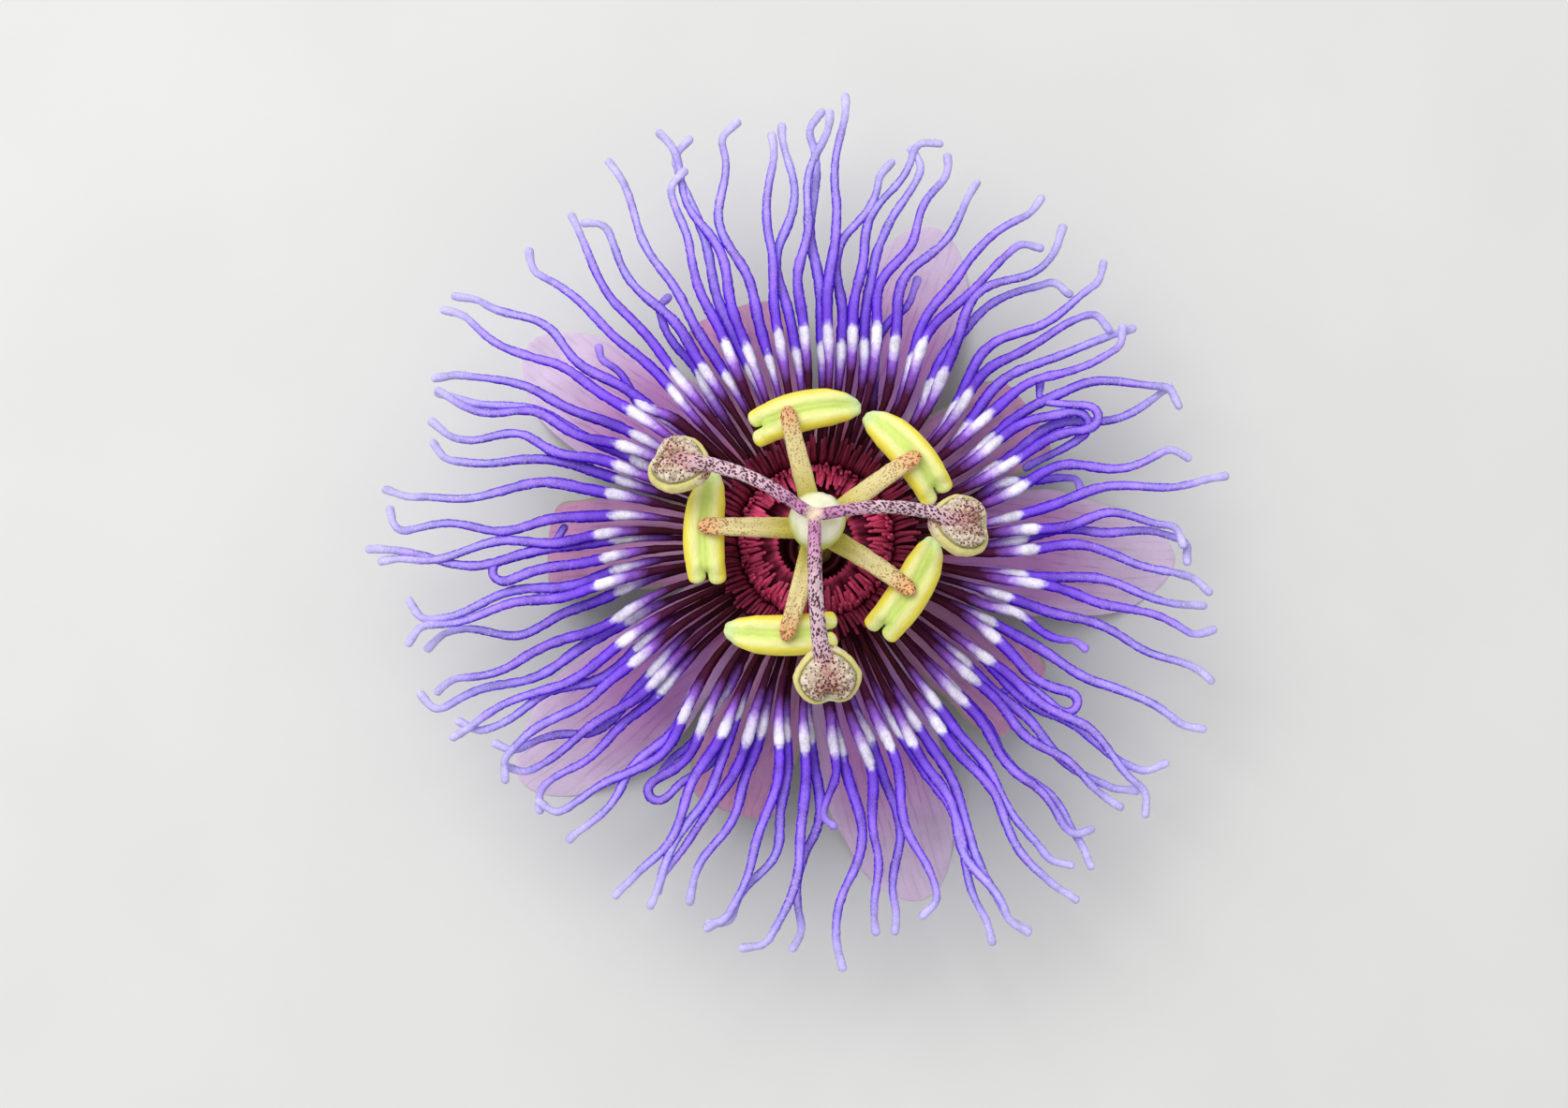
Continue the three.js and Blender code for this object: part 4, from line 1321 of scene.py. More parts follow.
def tepal_shell(bearing, corners, half_width, foot_share, ripple, ripple_phase, thickness, random):
    """A petal or sepal on the model's own curve, with a rounded tip, thin edges and finer waves.
    foot_share is the width of its foot as a share of its greatest, and ripple how high its edges wave."""
    straight = np.linspace(0, TIP_FROM, STRAIGHT_ROWS, endpoint=False)
    tip = TIP_FROM + (1 - TIP_FROM) * np.sin(np.linspace(0, TIP_TURN, TIP_ROWS))
    along = np.concatenate([straight, tip])
    across = np.sin(np.linspace(-1, 1, COLUMNS) * math.pi / 2)
    middle = bezier(corners, along)
    heading = np.gradient(middle, axis=0)
    heading /= np.linalg.norm(heading, axis=1)[:, None]
    rounding = np.sqrt(np.maximum(1 - (np.maximum(along - TIP_FROM, 0) / (1 - TIP_FROM)) ** 2, 0.0004))
    widening = mix(foot_share, 1, smooth(along, 0, 0.5))
    flat = 1 - smooth(along, 0.62, 0.82)
    A, B = along[:, None], across[None, :]
    edge = B * B
    wobble = 1 + 0.035 * edge * np.sin(TAU * (2.7 * A + random.uniform()) + 2 * B)
    width = half_width * (widening * rounding)[:, None] * wobble
    wave = ripple * edge * np.sin(TAU * (1.6 * A + ripple_phase) + B)
    fine = 0.16 * edge * np.sin(TAU * (5.3 * A + random.uniform()) + 3 * B)
    hollow = -0.22 * np.exp(-((B / 0.16) ** 2)) * smooth(A, 0.03, 0.2) * (1 - smooth(A, 0.7, 0.95))
    ribs = 0.03 * np.cos(B * math.pi * 9) * (1 - edge)
    waves = (wave + fine) * smooth(A, 0.1, 0.3)
    rolled_down = EDGE_ROLL * edge * smooth(A, 0, 0.35)
    roll = (waves - rolled_down + hollow + ribs) * flat[:, None]
    half_thick = thickness / 2 * np.sqrt(np.clip(1 - np.abs(B) ** 6, 0.04, 1)) * np.sqrt(rounding)[:, None]
    sheets, sides = [], []
    for face in (1, -1):
        offset = face * half_thick + roll
        distance = middle[:, :1] - heading[:, 1:] * offset
        lowest = (half_thick * 1.6 + 0.05 if face > 0 else 0) * np.ones_like(offset)
        height = np.maximum(middle[:, 1:] + heading[:, :1] * offset, lowest)
        sheets.append(around(bearing + B * width / distance, distance, 0, height))
        sides.append(np.full(offset.shape, float(face)))
    points, faces = blade(np.stack(sheets))
    skin = np.stack([A * LENGTH_SCALE + 0 * B, B * width, np.zeros_like(width)], axis=-1)
    start = random.uniform(0, 90)
    return Shell(
        points,
        faces,
        skin=np.concatenate([skin.reshape(-1, 3)] * 2) + [start, 0, start],
        along=np.concatenate([(A + 0 * B).ravel()] * 2),
        side=np.concatenate([np.abs(0 * A + B).ravel()] * 2),
        face=np.stack(sides).ravel(),
    )


PETAL_SEED = 71
PETAL_REACH = 46  # from the axis to the tip, on average
PETAL_FOOT = 0.62
PETAL_RIPPLE = 0.55


def petal_shells(tepals):
    """The five petals, each a little off its even place and reach."""
    draw = draws_from(PETAL_SEED)
    random = np.random.default_rng(PETAL_SEED)
    for k in range(WHORL):
        bearing = math.radians(SEPAL_BEARING + STEP_BEARING * (k + 0.5) + stray(draw, BEARING_STRAY))
        reach = PETAL_REACH + stray(draw, 2.4)
        corners = [(CUP_RADIUS + 0.1, CUP_RIM_Z - 0.9), (25, CUP_RIM_Z + 1), (reach - 14, -1.6), (reach, 0.1)]
        thickness = tepals.thickness / MM
        yield tepal_shell(
            bearing, corners, PETAL_HALF_WIDTH, PETAL_FOOT, PETAL_RIPPLE, next(draw), thickness, random
        )


SEPAL_SEED = 35
SEPAL_REACH = 33
SEPAL_FOOT = 0.8
SEPAL_RIPPLE = 0.35
HORN_LENGTH = 3
HORN_ROOT = 0.86  # share of a sepal's curve where its horn stands


def sepal_shells(tepals):
    """The five sepals, each with a small horn under its tip."""
    draw = draws_from(SEPAL_SEED)
    random = np.random.default_rng(SEPAL_SEED)
    for k in range(WHORL):
        bearing = math.radians(SEPAL_BEARING + STEP_BEARING * k + stray(draw, BEARING_STRAY))
        reach = SEPAL_REACH + stray(draw, 2)
        corners = [
            (CUP_RADIUS + 0.1, CUP_RIM_Z - 2.9),
            (26, CUP_RIM_Z - 0.4),
            (reach + 1.5, 11),
            (reach, 2.2),
        ]
        thickness = tepals.thickness / MM
        shell = tepal_shell(
            bearing, corners, SEPAL_HALF_WIDTH, SEPAL_FOOT, SEPAL_RIPPLE, next(draw), thickness, random
        )
        root = bezier(corners, [HORN_ROOT])[0]
        share = np.linspace(0, 1, 15)
        path = around(
            bearing,
            root[0] - 0.42 - mix(0, HORN_LENGTH * 0.75, share**1.2),
            0 * share,
            root[1] - HORN_LENGTH * 0.8 * share,
        )
        half = mix(0.62, 0.18, share**0.8)
        points, faces, skin = tube(path, half, half, 14, caps=(False, True))
        shell.add(points, faces, skin=skin, along=1.0, side=1.0, face=-1.0)
        yield shell


def bract_shells():
    """The three small bracts under the cup."""
    span, half_width, thickness = 7, 2.6, 0.45
    along = np.linspace(0, 1, 33)
    across = np.linspace(-1, 1, 17)
    for k in range(BRACT_COUNT):
        bearing = math.radians(SEPAL_BEARING + 20 + 360 / BRACT_COUNT * k)
        A, B = along[:, None], across[None, :]
        distance = STALK_RADIUS + 0.05 + span * A + 0 * B
        width = half_width * (0.3 + 0.7 * np.sin(math.pi * np.minimum(A * 1.08 + 0.1, 1)))
        width = width * np.sqrt(np.maximum(1 - smooth(A, 0.86, 1.0) * 0.995, 0.005))
        teeth = 1 + 0.05 * np.abs(B) ** 8 * np.sin(TAU * 7 * A)
        keel = -0.16 * np.exp(-((B / 0.2) ** 2))
        middle = BRACT_Z - 1.6 * np.sin(math.pi * A) + 2.1 * A + 0.5 * B * B + keel
        half_thick = thickness / 2 * np.sqrt(np.clip(1 - np.abs(B) ** 4, 0.05, 1))
        sheets = [
            around(bearing, distance, B * width * teeth, middle + face * half_thick) for face in (1, -1)
        ]
        points, faces = blade(np.stack(sheets))
        pale = 0.15 + 0.6 * np.exp(-((B / 0.14) ** 2)) + 0.35 * smooth(np.abs(B), 0.8, 1) + 0 * A
        skin = np.stack([span * A + 0 * B + 9 * k, B * width, 0 * A + 0 * B], axis=-1).reshape(-1, 3)
        yield Shell(
            points, faces, skin=np.concatenate([skin] * 2), along=np.concatenate([pale.ravel()] * 2)
        )


# ---- Cup, stalk and column ----
CUP_RIBS = 10
CUP_OUTSIDE = 0.52  # share of the cup's profile that is its outside


def rib_wave(turn):
    """1 along the cup's ribs, one of which lies under each sepal, and -1 between them."""
    return np.cos(CUP_RIBS * turn - math.radians(SEPAL_BEARING) * CUP_RIBS)


def cup_shell():
    """The floral cup: soft ribs outside, the nectar furrow and its low wall inside."""
    profile = axis_to_axis(
        [
            (0, CUP_BASE_Z),
            (3.2, CUP_BASE_Z),
            (6.6, CUP_BASE_Z + 1.5),
            (9.6, CUP_BASE_Z + 4),
            (CUP_RADIUS, CUP_BASE_Z + 6.6),
            (CUP_RADIUS, CUP_RIM_Z),
            (8, CUP_RIM_Z),
            (8, CUP_LEDGE_Z),
            (6.4, CUP_LEDGE_Z),
            (5, CUP_FLOOR_Z),
            (3.7, CUP_FLOOR_Z),
            (3.5, CUP_FLOOR_Z + 1.9),
            (2.7, CUP_FLOOR_Z + 1.9),
            (2.6, CUP_FLOOR_Z),
            (0, CUP_FLOOR_Z),
        ],
        150,
    )

    def relief(turn, radius, height):
        outside = smooth(radius, 3, 8) * (1 - smooth(height, CUP_RIM_Z - 2.6, CUP_RIM_Z - 0.8))
        is_outer = np.arange(len(radius))[:, None] < len(radius) * CUP_OUTSIDE
        return radius + 0.28 * rib_wave(turn) * outside * is_outer, height

    points, faces = lathe(profile, 160, relief)
    turn = np.arctan2(points[:, 1], points[:, 0])
    pale = 0.35 + 0.3 * rib_wave(turn)
    in_mouth = smooth(CUP_RADIUS - 0.6 - np.hypot(points[:, 0], points[:, 1]), 0, 0.8)
    over_floor = smooth(points[:, 2], CUP_FLOOR_Z - 0.7, CUP_FLOOR_Z - 0.2)
    return Shell(points, faces, skin=points, along=pale, inside=in_mouth * over_floor)


def stalk_shell():
    """The nipped stub of the stalk, ridged, with a dry cut end."""
    heights = np.linspace(STALK_CUT_Z, CUP_BASE_Z + 0.05, 42)
    radius = STALK_RADIUS * (0.9 + 0.1 * smooth(heights, BRACT_Z - 1.5, CUP_BASE_Z))
    radius = radius * (1 + 0.12 * np.exp(-(((heights - BRACT_Z) / 0.6) ** 2)))
    cut = [(AXIS_GAP, STALK_CUT_Z + 0.25), (radius[0] * 0.75, STALK_CUT_Z + 0.12)]
    profile = np.concatenate([cut, np.stack([radius, heights], axis=-1), [(AXIS_GAP, heights[-1])]])

    def relief(turn, radius, height):
        ridges = 1 + 0.05 * np.cos(5 * turn) + 0.02 * np.cos(11 * turn + height)
        return radius * ridges, height

    points, faces = lathe(profile, 60, relief)
    pale = 0.2 + 0.5 * (1 - smooth(points[:, 2], STALK_CUT_Z, STALK_CUT_Z + 0.6))
    return Shell(points, faces, skin=points, along=pale)


def column_shell():
    """The column that lifts stamens and ovary, spreading into five at its head."""
    profile = axis_to_axis(
        [
            (0, CUP_FLOOR_Z + 0.05),
            (2.2, CUP_FLOOR_Z + 0.3),
            (2.1, CUP_FLOOR_Z + 1.6),
            (1.5, CUP_FLOOR_Z + 4),
            (1.5, COLUMN_TOP_Z - 3.5),
            (2.3, COLUMN_TOP_Z - 1.8),
            (2.5, COLUMN_TOP_Z - 0.3),
            (1.9, COLUMN_TOP_Z + 0.3),
            (0, COLUMN_TOP_Z + 0.35),
        ],
        90,
    )

    def relief(turn, radius, height):
        head = smooth(height, COLUMN_TOP_Z - 5, COLUMN_TOP_Z - 1.2)
        lobes = 0.16 * np.cos(WHORL * (turn - math.radians(SEPAL_BEARING))) * head
        return radius * (1 + lobes + 0.03 * np.cos(2 * WHORL * turn)), height

    points, faces = lathe(profile, 80, relief)
    skin = points[:, [2, 0, 1]] + [40, 0, 0]
    return Shell(points, faces, skin=skin, along=0.3)


# ---- Stamens ----
# Each stamen: bearing in degrees, reach beyond the mean, how far round the anther is slung,
# its turn from square, and the end (1 or -1) where its two lobes part.
STAMENS = [
    {"bearing": 34.8, "extra": 0.9, "slung": 1.4, "turn": 6, "parted": -1},
    {"bearing": 104, "extra": 0.65, "slung": -2.1, "turn": -1, "parted": 1},
    {"bearing": 180.5, "extra": 0, "slung": -0.3, "turn": -3, "parted": 1},
    {"bearing": 254.5, "extra": 0.2, "slung": -0.9, "turn": 16, "parted": 1},
    {"bearing": 324.8, "extra": 0.05, "slung": 0.6, "turn": 4, "parted": -1},
]
STRAP_START = (1.3, 0.76)  # half width and half height at the column
STRAP_END = (1.0, 0.58)  # and at the anther
STRAP_SIDES = 28
STRAP_SEED = 33


def strap_shell(stamen, random):
    """One flat strap from the column's head out to its anther."""
    bearing = math.radians(stamen["bearing"])
    reach = STAMEN_REACH + stamen["extra"]
    start = 2.0
    corners = [
        (start, STAMEN_Z),
        (mix(start, reach, 0.4), STAMEN_Z + 2.6),
        (mix(start, reach, 0.7), STAMEN_TIP_Z + 0.3),
        (reach - 0.35, STAMEN_TIP_Z),
    ]
    share = np.linspace(0, 1, 61)
    line = bezier(corners, share)
    path = around(bearing, line[:, 0], 0.12 * np.sin(3 * share), line[:, 1])
    uneven = 1 + 0.035 * soft_noise(random, len(share), 9)
    half_width = mix(STRAP_START[0], STRAP_END[0], share) * uneven
    half_height = mix(STRAP_START[1], STRAP_END[1], share) * uneven
    to_tip = (1 - share) * reach
    half_width = half_width * np.sqrt(1 - 0.5 * np.clip(1 - to_tip / 0.8, 0, 1) ** 2)
    turn = even_turns(STRAP_SIDES)
    boxy = 1 / (np.abs(np.cos(turn)) ** 3 + np.abs(np.sin(turn)) ** 3) ** (1 / 3)
    furrow = 1 - 0.16 * np.exp(-(((turn - math.pi / 2) / 0.4) ** 2))
    rough = 1 + random.uniform(-0.02, 0.02, (len(share), STRAP_SIDES))
    points, faces, skin = tube(path, half_width, half_height, STRAP_SIDES, bumps=boxy * furrow * rough)
    along = np.clip(skin[:, 0] / skin[:, 0].max(), 0, 1)
    return Shell(points, faces, skin=skin + [random.uniform(0, 50), 0, 0], along=along)


def strap_shells():
    """The five straps."""
    random = np.random.default_rng(STRAP_SEED)
    for stamen in STAMENS:
        yield strap_shell(stamen, random)


# An anther's half width from its closed end (-1) to the end where its lobes part (1).
ANTHER_PLAN = [(-1, 1.2), (-0.85, 1.75), (-0.5, 2.3), (-0.1, 2.45), (0.3, 2.5), (0.7, 2.42), (1, 2.3)]
ANTHER_DROOP = 1.05  # how far the anther's ends hang below its middle
CLOSED_END = 1  # how far the tubes that form it stop short of its closed end
PARTED_END = 0.7  # and of the end where its lobes part
ANTHER_SEED = 5


def anther_half_width(t):
    """Half the anther's width at a place from -1 to 1 along it."""
    places, widths = zip(*ANTHER_PLAN)
    return np.interp(t, places, widths)


def anther_form(side):
    """One anther along +X in its own place: two fused lobes with a band between them, which part at
    the +X end. side is 1 where its middle bows towards +Y, and -1 where it bows the other way."""
    half = ANTHER_LENGTH / 2
    share = np.linspace(0, 1, 49)
    t = 2 * share - 1
    bow = side * ANTHER_BOW * (1 - t**2)
    z = -ANTHER_DEPTH / 2 - ANTHER_DROOP * t**2
    closing = smooth(t, -1.15, -0.4)
    wide = anther_half_width(t)
    half_width = wide * mix(0.56, 0.467, smooth(t, 0.66, 0.82))
    half_height = mix(0.8, 1.45, closing) - 0.7 * smooth(t, 0.7, 1)
    lobes = Shell()
    x = mix(-half + CLOSED_END, half - PARTED_END, share)
    for lobe in (1, -1):
        y = lobe * (wide - half_width) + bow
        points, faces, _ = tube(np.stack([x, y, z], axis=-1), half_width, half_height, 32)
        lobes.add(points, faces)
    band = share < 0.845
    path = np.stack([x, bow, z], axis=-1)[band]
    points, faces, _ = tube(path, mix(0.5, 0.75, closing)[band], mix(0.7, 1.3, closing)[band], 24)
    lobes.add(points, faces)
    nib = np.linspace(0, 1, 9)
    path = np.stack([mix(-half + 2, -half + 0.45, nib), 0.0 * nib, z[0] + 0.1 - 0.2 * nib], axis=-1)
    points, faces, _ = tube(path, mix(1.1, 0.6, nib), mix(0.8, 0.45, nib), 20)
    lobes.add(points, faces)
    return remeshed("Anther_form", lobes, voxel=0.11, smoothing=4)


def anther_shells():
    """The five anthers, slung across under the straps' tips."""
    forms = {side: anther_form(side) for side in (1, -1)}
    random = np.random.default_rng(ANTHER_SEED)
    for stamen in STAMENS:
        points, faces = forms[-stamen["parted"]]
        bearing = math.radians(stamen["bearing"])
        top = STAMEN_TIP_Z - STRAP_END[1] - 0.12
        place = around(bearing, STAMEN_REACH + stamen["extra"] - ANTHER_INSET, stamen["slung"], top)
        turn = math.radians(stamen["bearing"] + 90 * stamen["parted"] + stamen["turn"])
        cos, sin = math.cos(turn), math.sin(turn)
        spin = np.array([[cos, -sin, 0], [sin, cos, 0], [0, 0, 1]])
        x, y, z = points.T
        t = 2 * x / ANTHER_LENGTH
        bow = -stamen["parted"] * ANTHER_BOW * (1 - t**2)
        below = smooth(-z - ANTHER_DROOP * t**2, 1.3, 2.6)
        side = np.abs(y - bow) / anther_half_width(t) * 0.9 + 0.4 * below
        nib = smooth(-x, ANTHER_LENGTH / 2 - 2.2, ANTHER_LENGTH / 2 - 0.5)
        skin = points + [random.uniform(0, 60), 0, 0]
        yield Shell(points @ spin.T + place, faces, skin=skin, side=side, nib=nib)


# ---- Pistil ----
def ovary_shell():
    """The ovary with three faint furrows, and the knob where the styles meet."""
    middle = mix(OVARY_BASE_Z, OVARY_TOP_Z, 0.52)
    profile = axis_to_axis(
        [
            (0, OVARY_BASE_Z - 0.3),
            (1.9, OVARY_BASE_Z),
            (2.7, OVARY_BASE_Z + 1.2),
            (3.25, mix(OVARY_BASE_Z, middle, 0.6)),
            (OVARY_RADIUS, middle),
            (3.3, mix(middle, OVARY_TOP_Z, 0.35)),
            (2.8, mix(middle, OVARY_TOP_Z, 0.68)),
            (1.9, mix(middle, OVARY_TOP_Z, 0.92)),
            (KNOB_RADIUS, OVARY_TOP_Z + 0.1),
            (0.95, OVARY_TOP_Z + 0.7),
            (0.6, KNOB_TOP_Z - 0.2),
            (0, KNOB_TOP_Z - 0.2),
        ],
        96,
    )

    def relief(turn, radius, height):
        furrow = -0.035 * np.exp(-((np.sin(1.5 * (turn - 1.2)) / 0.16) ** 2))
        body = smooth(radius, 1.2, 2.6)
        return radius * (1 + furrow * body + 0.012 * np.cos(6 * turn) * body), height

    points, faces = lathe(profile, 120, relief)
    points[:, 0] += KNOB_SHIFT * smooth(points[:, 2], OVARY_TOP_Z - 1.5, OVARY_TOP_Z)
    return Shell(points, faces, skin=points, along=smooth(points[:, 2], OVARY_BASE_Z, OVARY_TOP_Z))


# Each style: bearing in degrees, how far out its stigma sits, how far it sways sideways, its radius
# near the stigma, and how far its end is raised over the stigma. Then its stigma: how broad it is,
# how far it leans sideways (in degrees), how much fuller than the section its cushion is, and how
# deep its outer end is notched and how square it is (2 is round).
STYLES = [
    {
        "bearing": 158,
        "reach": 17.2,
        "sway": -1.2,
        "girth": 0.88,
        "raised": 0.7,
        "breadth": 0.99,
        "lean": 14,
        "fuller": 1.04,
        "notch": 0.07,
        "square": 2.8,
    },
    {
        "bearing": 273.7,
        "reach": 18.5,
        "sway": -0.7,
        "girth": 1.0,
        "raised": 0,
        "breadth": 1.08,
        "lean": -3,
        "fuller": 1.0,
        "notch": 0.2,
        "square": 2,
    },
    {
        "bearing": 357.8,
        "reach": 16.6,
        "sway": 1.2,
        "girth": 0.8,
        "raised": 0.7,
        "breadth": 1.02,
        "lean": -14,
        "fuller": 1.04,
        "notch": 0.07,
        "square": 2.8,
    },
]
STYLE_START_RADIUS = 0.74
STYLE_SEED = 8


def style_shell(style, random):
    """One arm from the knob out and down, which runs on as a ridge over its stigma."""
    bearing = math.radians(style["bearing"])
    reach = style["reach"]
    neck = reach - STIGMA_INNER - 0.3
    raised = style["raised"]
    line = rounded(
        [
            (-0.1, STYLE_Z + 0.1),
            (KNOB_RADIUS, STYLE_Z + 0.35),
            (mix(KNOB_RADIUS, neck, 0.25), STYLE_Z + 0.85),
            (mix(KNOB_RADIUS, neck, 0.5), STYLE_Z + 0.75),
            (mix(KNOB_RADIUS, neck, 0.75), STYLE_Z - 0.25),
            (neck, STIGMA_Z + 2.5),
            (reach - 1.8, STIGMA_Z + 1.95 + raised),
            (reach + 0.5 + 0.6 * raised, STIGMA_Z + 1.3 + raised * 0.75),
        ],
        121,
    )
    share = np.linspace(0, 1, len(line))
    along_arm = np.clip((line[:, 0] - KNOB_RADIUS) / (neck - KNOB_RADIUS), 0, 1)
    on_stigma = smooth(line[:, 0], neck, reach + 0.6)
    sideways = style["sway"] * np.sin(0.62 * math.pi * along_arm) * (1 - on_stigma)
    path = around(bearing, line[:, 0], sideways, line[:, 1])
    path[:, 0] += KNOB_SHIFT * (1 - along_arm)
    girth = mix(STYLE_START_RADIUS, style["girth"], along_arm)
    half = girth * (1 + 0.05 * soft_noise(random, len(share), 14))
    half_width = half * (1 + 0.35 * on_stigma)
    half_height = half * 0.95 * (1 - 0.45 * on_stigma)
    points, faces, skin = tube(path, half_width, half_height, 24)
    along = np.clip(skin[:, 0] / skin[:, 0].max(), 0, 1)
    return Shell(points, faces, skin=skin + [random.uniform(0, 50), 0, 0], along=along)


def style_shells():
    """The three styles."""
    random = np.random.default_rng(STYLE_SEED)
    for style in STYLES:
        yield style_shell(style, random)


def heart(turn, style):
    """The stigma's outline by the turn from its outer end, where it is notched."""
    x, y = np.cos(turn), np.sin(turn)
    square = style["square"]
    corners = np.where(x > 0, (np.abs(x) ** square + np.abs(y) ** square) ** (-1 / square), 1)
    size = corners * (1 - style["notch"] * np.exp(-((turn / 0.36) ** 2)))
    taper = np.where(x < 0, 1 + 0.28 * x, 1)
    half_length = np.where(x > 0, STIGMA_OUTER, STIGMA_INNER)
    return x * half_length * size, y * STIGMA_HALF_WIDTH * style["breadth"] * taper * size


# The stigma's section from the middle of its underside to the middle of its top: share of the
# outline, height, and whether the point is on the smooth rim and in the groove inside it.
STIGMA_SECTION = [
    (0.02, -1.9, 1, 0),
    (0.45, -1.8, 1, 0),
    (0.8, -1.4, 1, 0),
    (0.96, -0.75, 1, 0),
    (1.0, -0.05, 1, 0),
    (0.98, 0.4, 1, 0),
    (0.92, 0.72, 1, 0),
    (0.86, 0.76, 1, 0.2),
    (0.82, 0.7, 0.6, 1),
    (0.79, 0.8, 0, 0.6),
    (0.775, 1.1, 0, 0),
    (0.71, 1.45, 0, 0),
    (0.54, 1.8, 0, 0),
    (0.3, 1.95, 0, 0),
    (0.02, 1.95, 0, 0),
]
STIGMA_SIDES = 150
FULLER_RISE = 3.5  # millimetres that a cushion rises for each unit by which it is fuller


def lumps_on(points, scale, shift):
    """Soft lumps, from about -1 to 1, at an array of points."""
    return np.array([lump_at(Vector(point) * scale + Vector(shift)) for point in points])


def stigma_shells():
    """Each stigma: a smooth rim below, a groove, and the lumpy specked cushion above."""
    tilt = Matrix.Rotation(math.radians(STIGMA_TILT), 3, "Y")
    section = rounded(STIGMA_SECTION, 86)
    turn = even_turns(STIGMA_SIDES)
    turn = np.where(turn > math.pi, turn - TAU, turn)
    for style in STYLES:
        bearing = math.radians(style["bearing"])
        outline_x, outline_y = heart(turn, style)
        share, height, rim, groove = (section[:, i : i + 1] for i in range(4))
        above = smooth(height, 0.75, 1.3)
        share = share * mix(1, style["fuller"], above)
        x, y = share * outline_x, share * outline_y
        furrow = -2.5 * style["notch"] * np.exp(-((y / 0.4) ** 2)) * smooth(x, 0.6, 2.4)
        lobes = 0.3 * np.exp(-(((np.abs(y) - 1.7) / 1.1) ** 2)) * smooth(x, -1.5, 0.8)
        z = height + (furrow + lobes + FULLER_RISE * (style["fuller"] - 1)) * above
        own = np.stack([x, y, z], axis=-1).reshape(-1, 3)
        cushion = (above * smooth(x, -3.4, -1.5)).ravel()
        lumps = lumps_on(own, 1.5, (bearing * 9, 0, 0))
        fine = lumps_on(own, 4, (0, bearing * 9, 0))
        wrinkle = np.abs(lumps) * 2
        swell = 0.07 * lumps + 0.04 * fine + cushion * 0.5 * (np.minimum(wrinkle, 0.6) - 0.35)
        own = own * (1 + swell / np.maximum(np.linalg.norm(own, axis=1), 1))[:, None]
        faces = ring_faces(len(section), STIGMA_SIDES) + end_faces(len(section), STIGMA_SIDES)
        lean = Matrix.Rotation(math.radians(style["lean"]), 3, "X")
        turned = np.array(Matrix.Rotation(bearing, 3, "Z") @ tilt @ lean)
        place = around(bearing, style["reach"], 0, STIGMA_Z)
        own_x, own_y = own[:, 0], own[:, 1]
        spread = 0.5 + 0.75 * smooth(own_x, -2.5, 1.8)
        middle = np.exp(-((own_y / spread / 1.8) ** 2)) * (1 - smooth(own_x, 1.7, 2.9))
        shown = smooth(own_x, -3.6, -2.4)
        notch = np.exp(-(((own_x - 2.9) / 0.7) ** 2) - (own_y / 0.75) ** 2) * smooth(own[:, 2], 0, 0.6)
        yield Shell(
            own @ turned.T + place,
            faces,
            skin=own + [bearing * 20, 0, 0],
            middle=middle,
            # Painted shade where the cushion sinks between its lumps
            furrow_shade=cushion * (1 - smooth(wrinkle, 0.1, 0.45)) * (0.4 + 0.6 * smooth(own_x, -0.5, 1.5)),
            rim=(rim * np.ones_like(x)).ravel() * np.maximum(shown, smooth(-own[:, 2], 0, 0.8)),
            groove=(groove * np.ones_like(x)).ravel() * shown,
            notch=notch * 4.5 * style["notch"],
        )


# ---- Operators ----
class FLOWER_OT_fringe(bpy.types.Operator):
    """Build the two series of long filaments and the ring that they grow from"""

    bl_idname = "flower.fringe"
    bl_label = "Long fringe"

    def execute(self, context):
        fringe = context.scene.flower_fringe
        finish = fringe_finish(fringe)
        upper, lower = fringe_shells(fringe)
        put("corona_upper", upper, finish, "corona", "corona_filaments")
        put("corona_lower", lower, finish, "corona", "corona_filaments")
        put("corona_ring", corona_ring_shell(), ring_finish(fringe), "corona", "corona_filaments")
        return {"FINISHED"}


class FLOWER_OT_inner_crown(bpy.types.Operator):
    """Build the short crimson threads and the pleated collar inside the fringe"""

    bl_idname = "flower.inner_crown"
    bl_label = "Inner threads and collar"

    def execute(self, context):
        finish = crimson_finish(context.scene.flower_fringe)
        put("inner_corona_threads", inner_corona_shell(), finish, "inner_corona", "inner_corona")
        put("operculum_collar", operculum_shell(), finish, "inner_corona", "operculum")
        return {"FINISHED"}


class FLOWER_OT_petals(bpy.types.Operator):
    """Build the five lilac petals"""

    bl_idname = "flower.petals"
    bl_label = "Petals"

    def execute(self, context):
        tepals = context.scene.flower_tepals
        put_each("petal_{}_blade", petal_shells(tepals), petal_finish(tepals), "petal", "petal_{}")
        return {"FINISHED"}


class FLOWER_OT_sepals(bpy.types.Operator):
    """Build the five horned sepals between the petals"""

    bl_idname = "flower.sepals"
    bl_label = "Sepals"

    def execute(self, context):
        tepals = context.scene.flower_tepals
        put_each("sepal_{}_blade", sepal_shells(tepals), sepal_finish(tepals), "sepal", "sepal_{}")
        return {"FINISHED"}


class FLOWER_OT_cup(bpy.types.Operator):
    """Build the floral cup, the stalk's stub and the three bracts"""

    bl_idname = "flower.cup"
    bl_label = "Cup, stalk and bracts"

    def execute(self, context):
        finish = green_finish(context.scene.flower_tepals, context.scene.flower_fringe)
        put("cup_body", cup_shell(), finish, "green_tissue", "floral_cup")
        put("stalk_stub", stalk_shell(), finish, "green_tissue", "stalk")
        put_each("bract_{}_leaf", bract_shells(), finish, "green_tissue", "bract_{}")
        return {"FINISHED"}


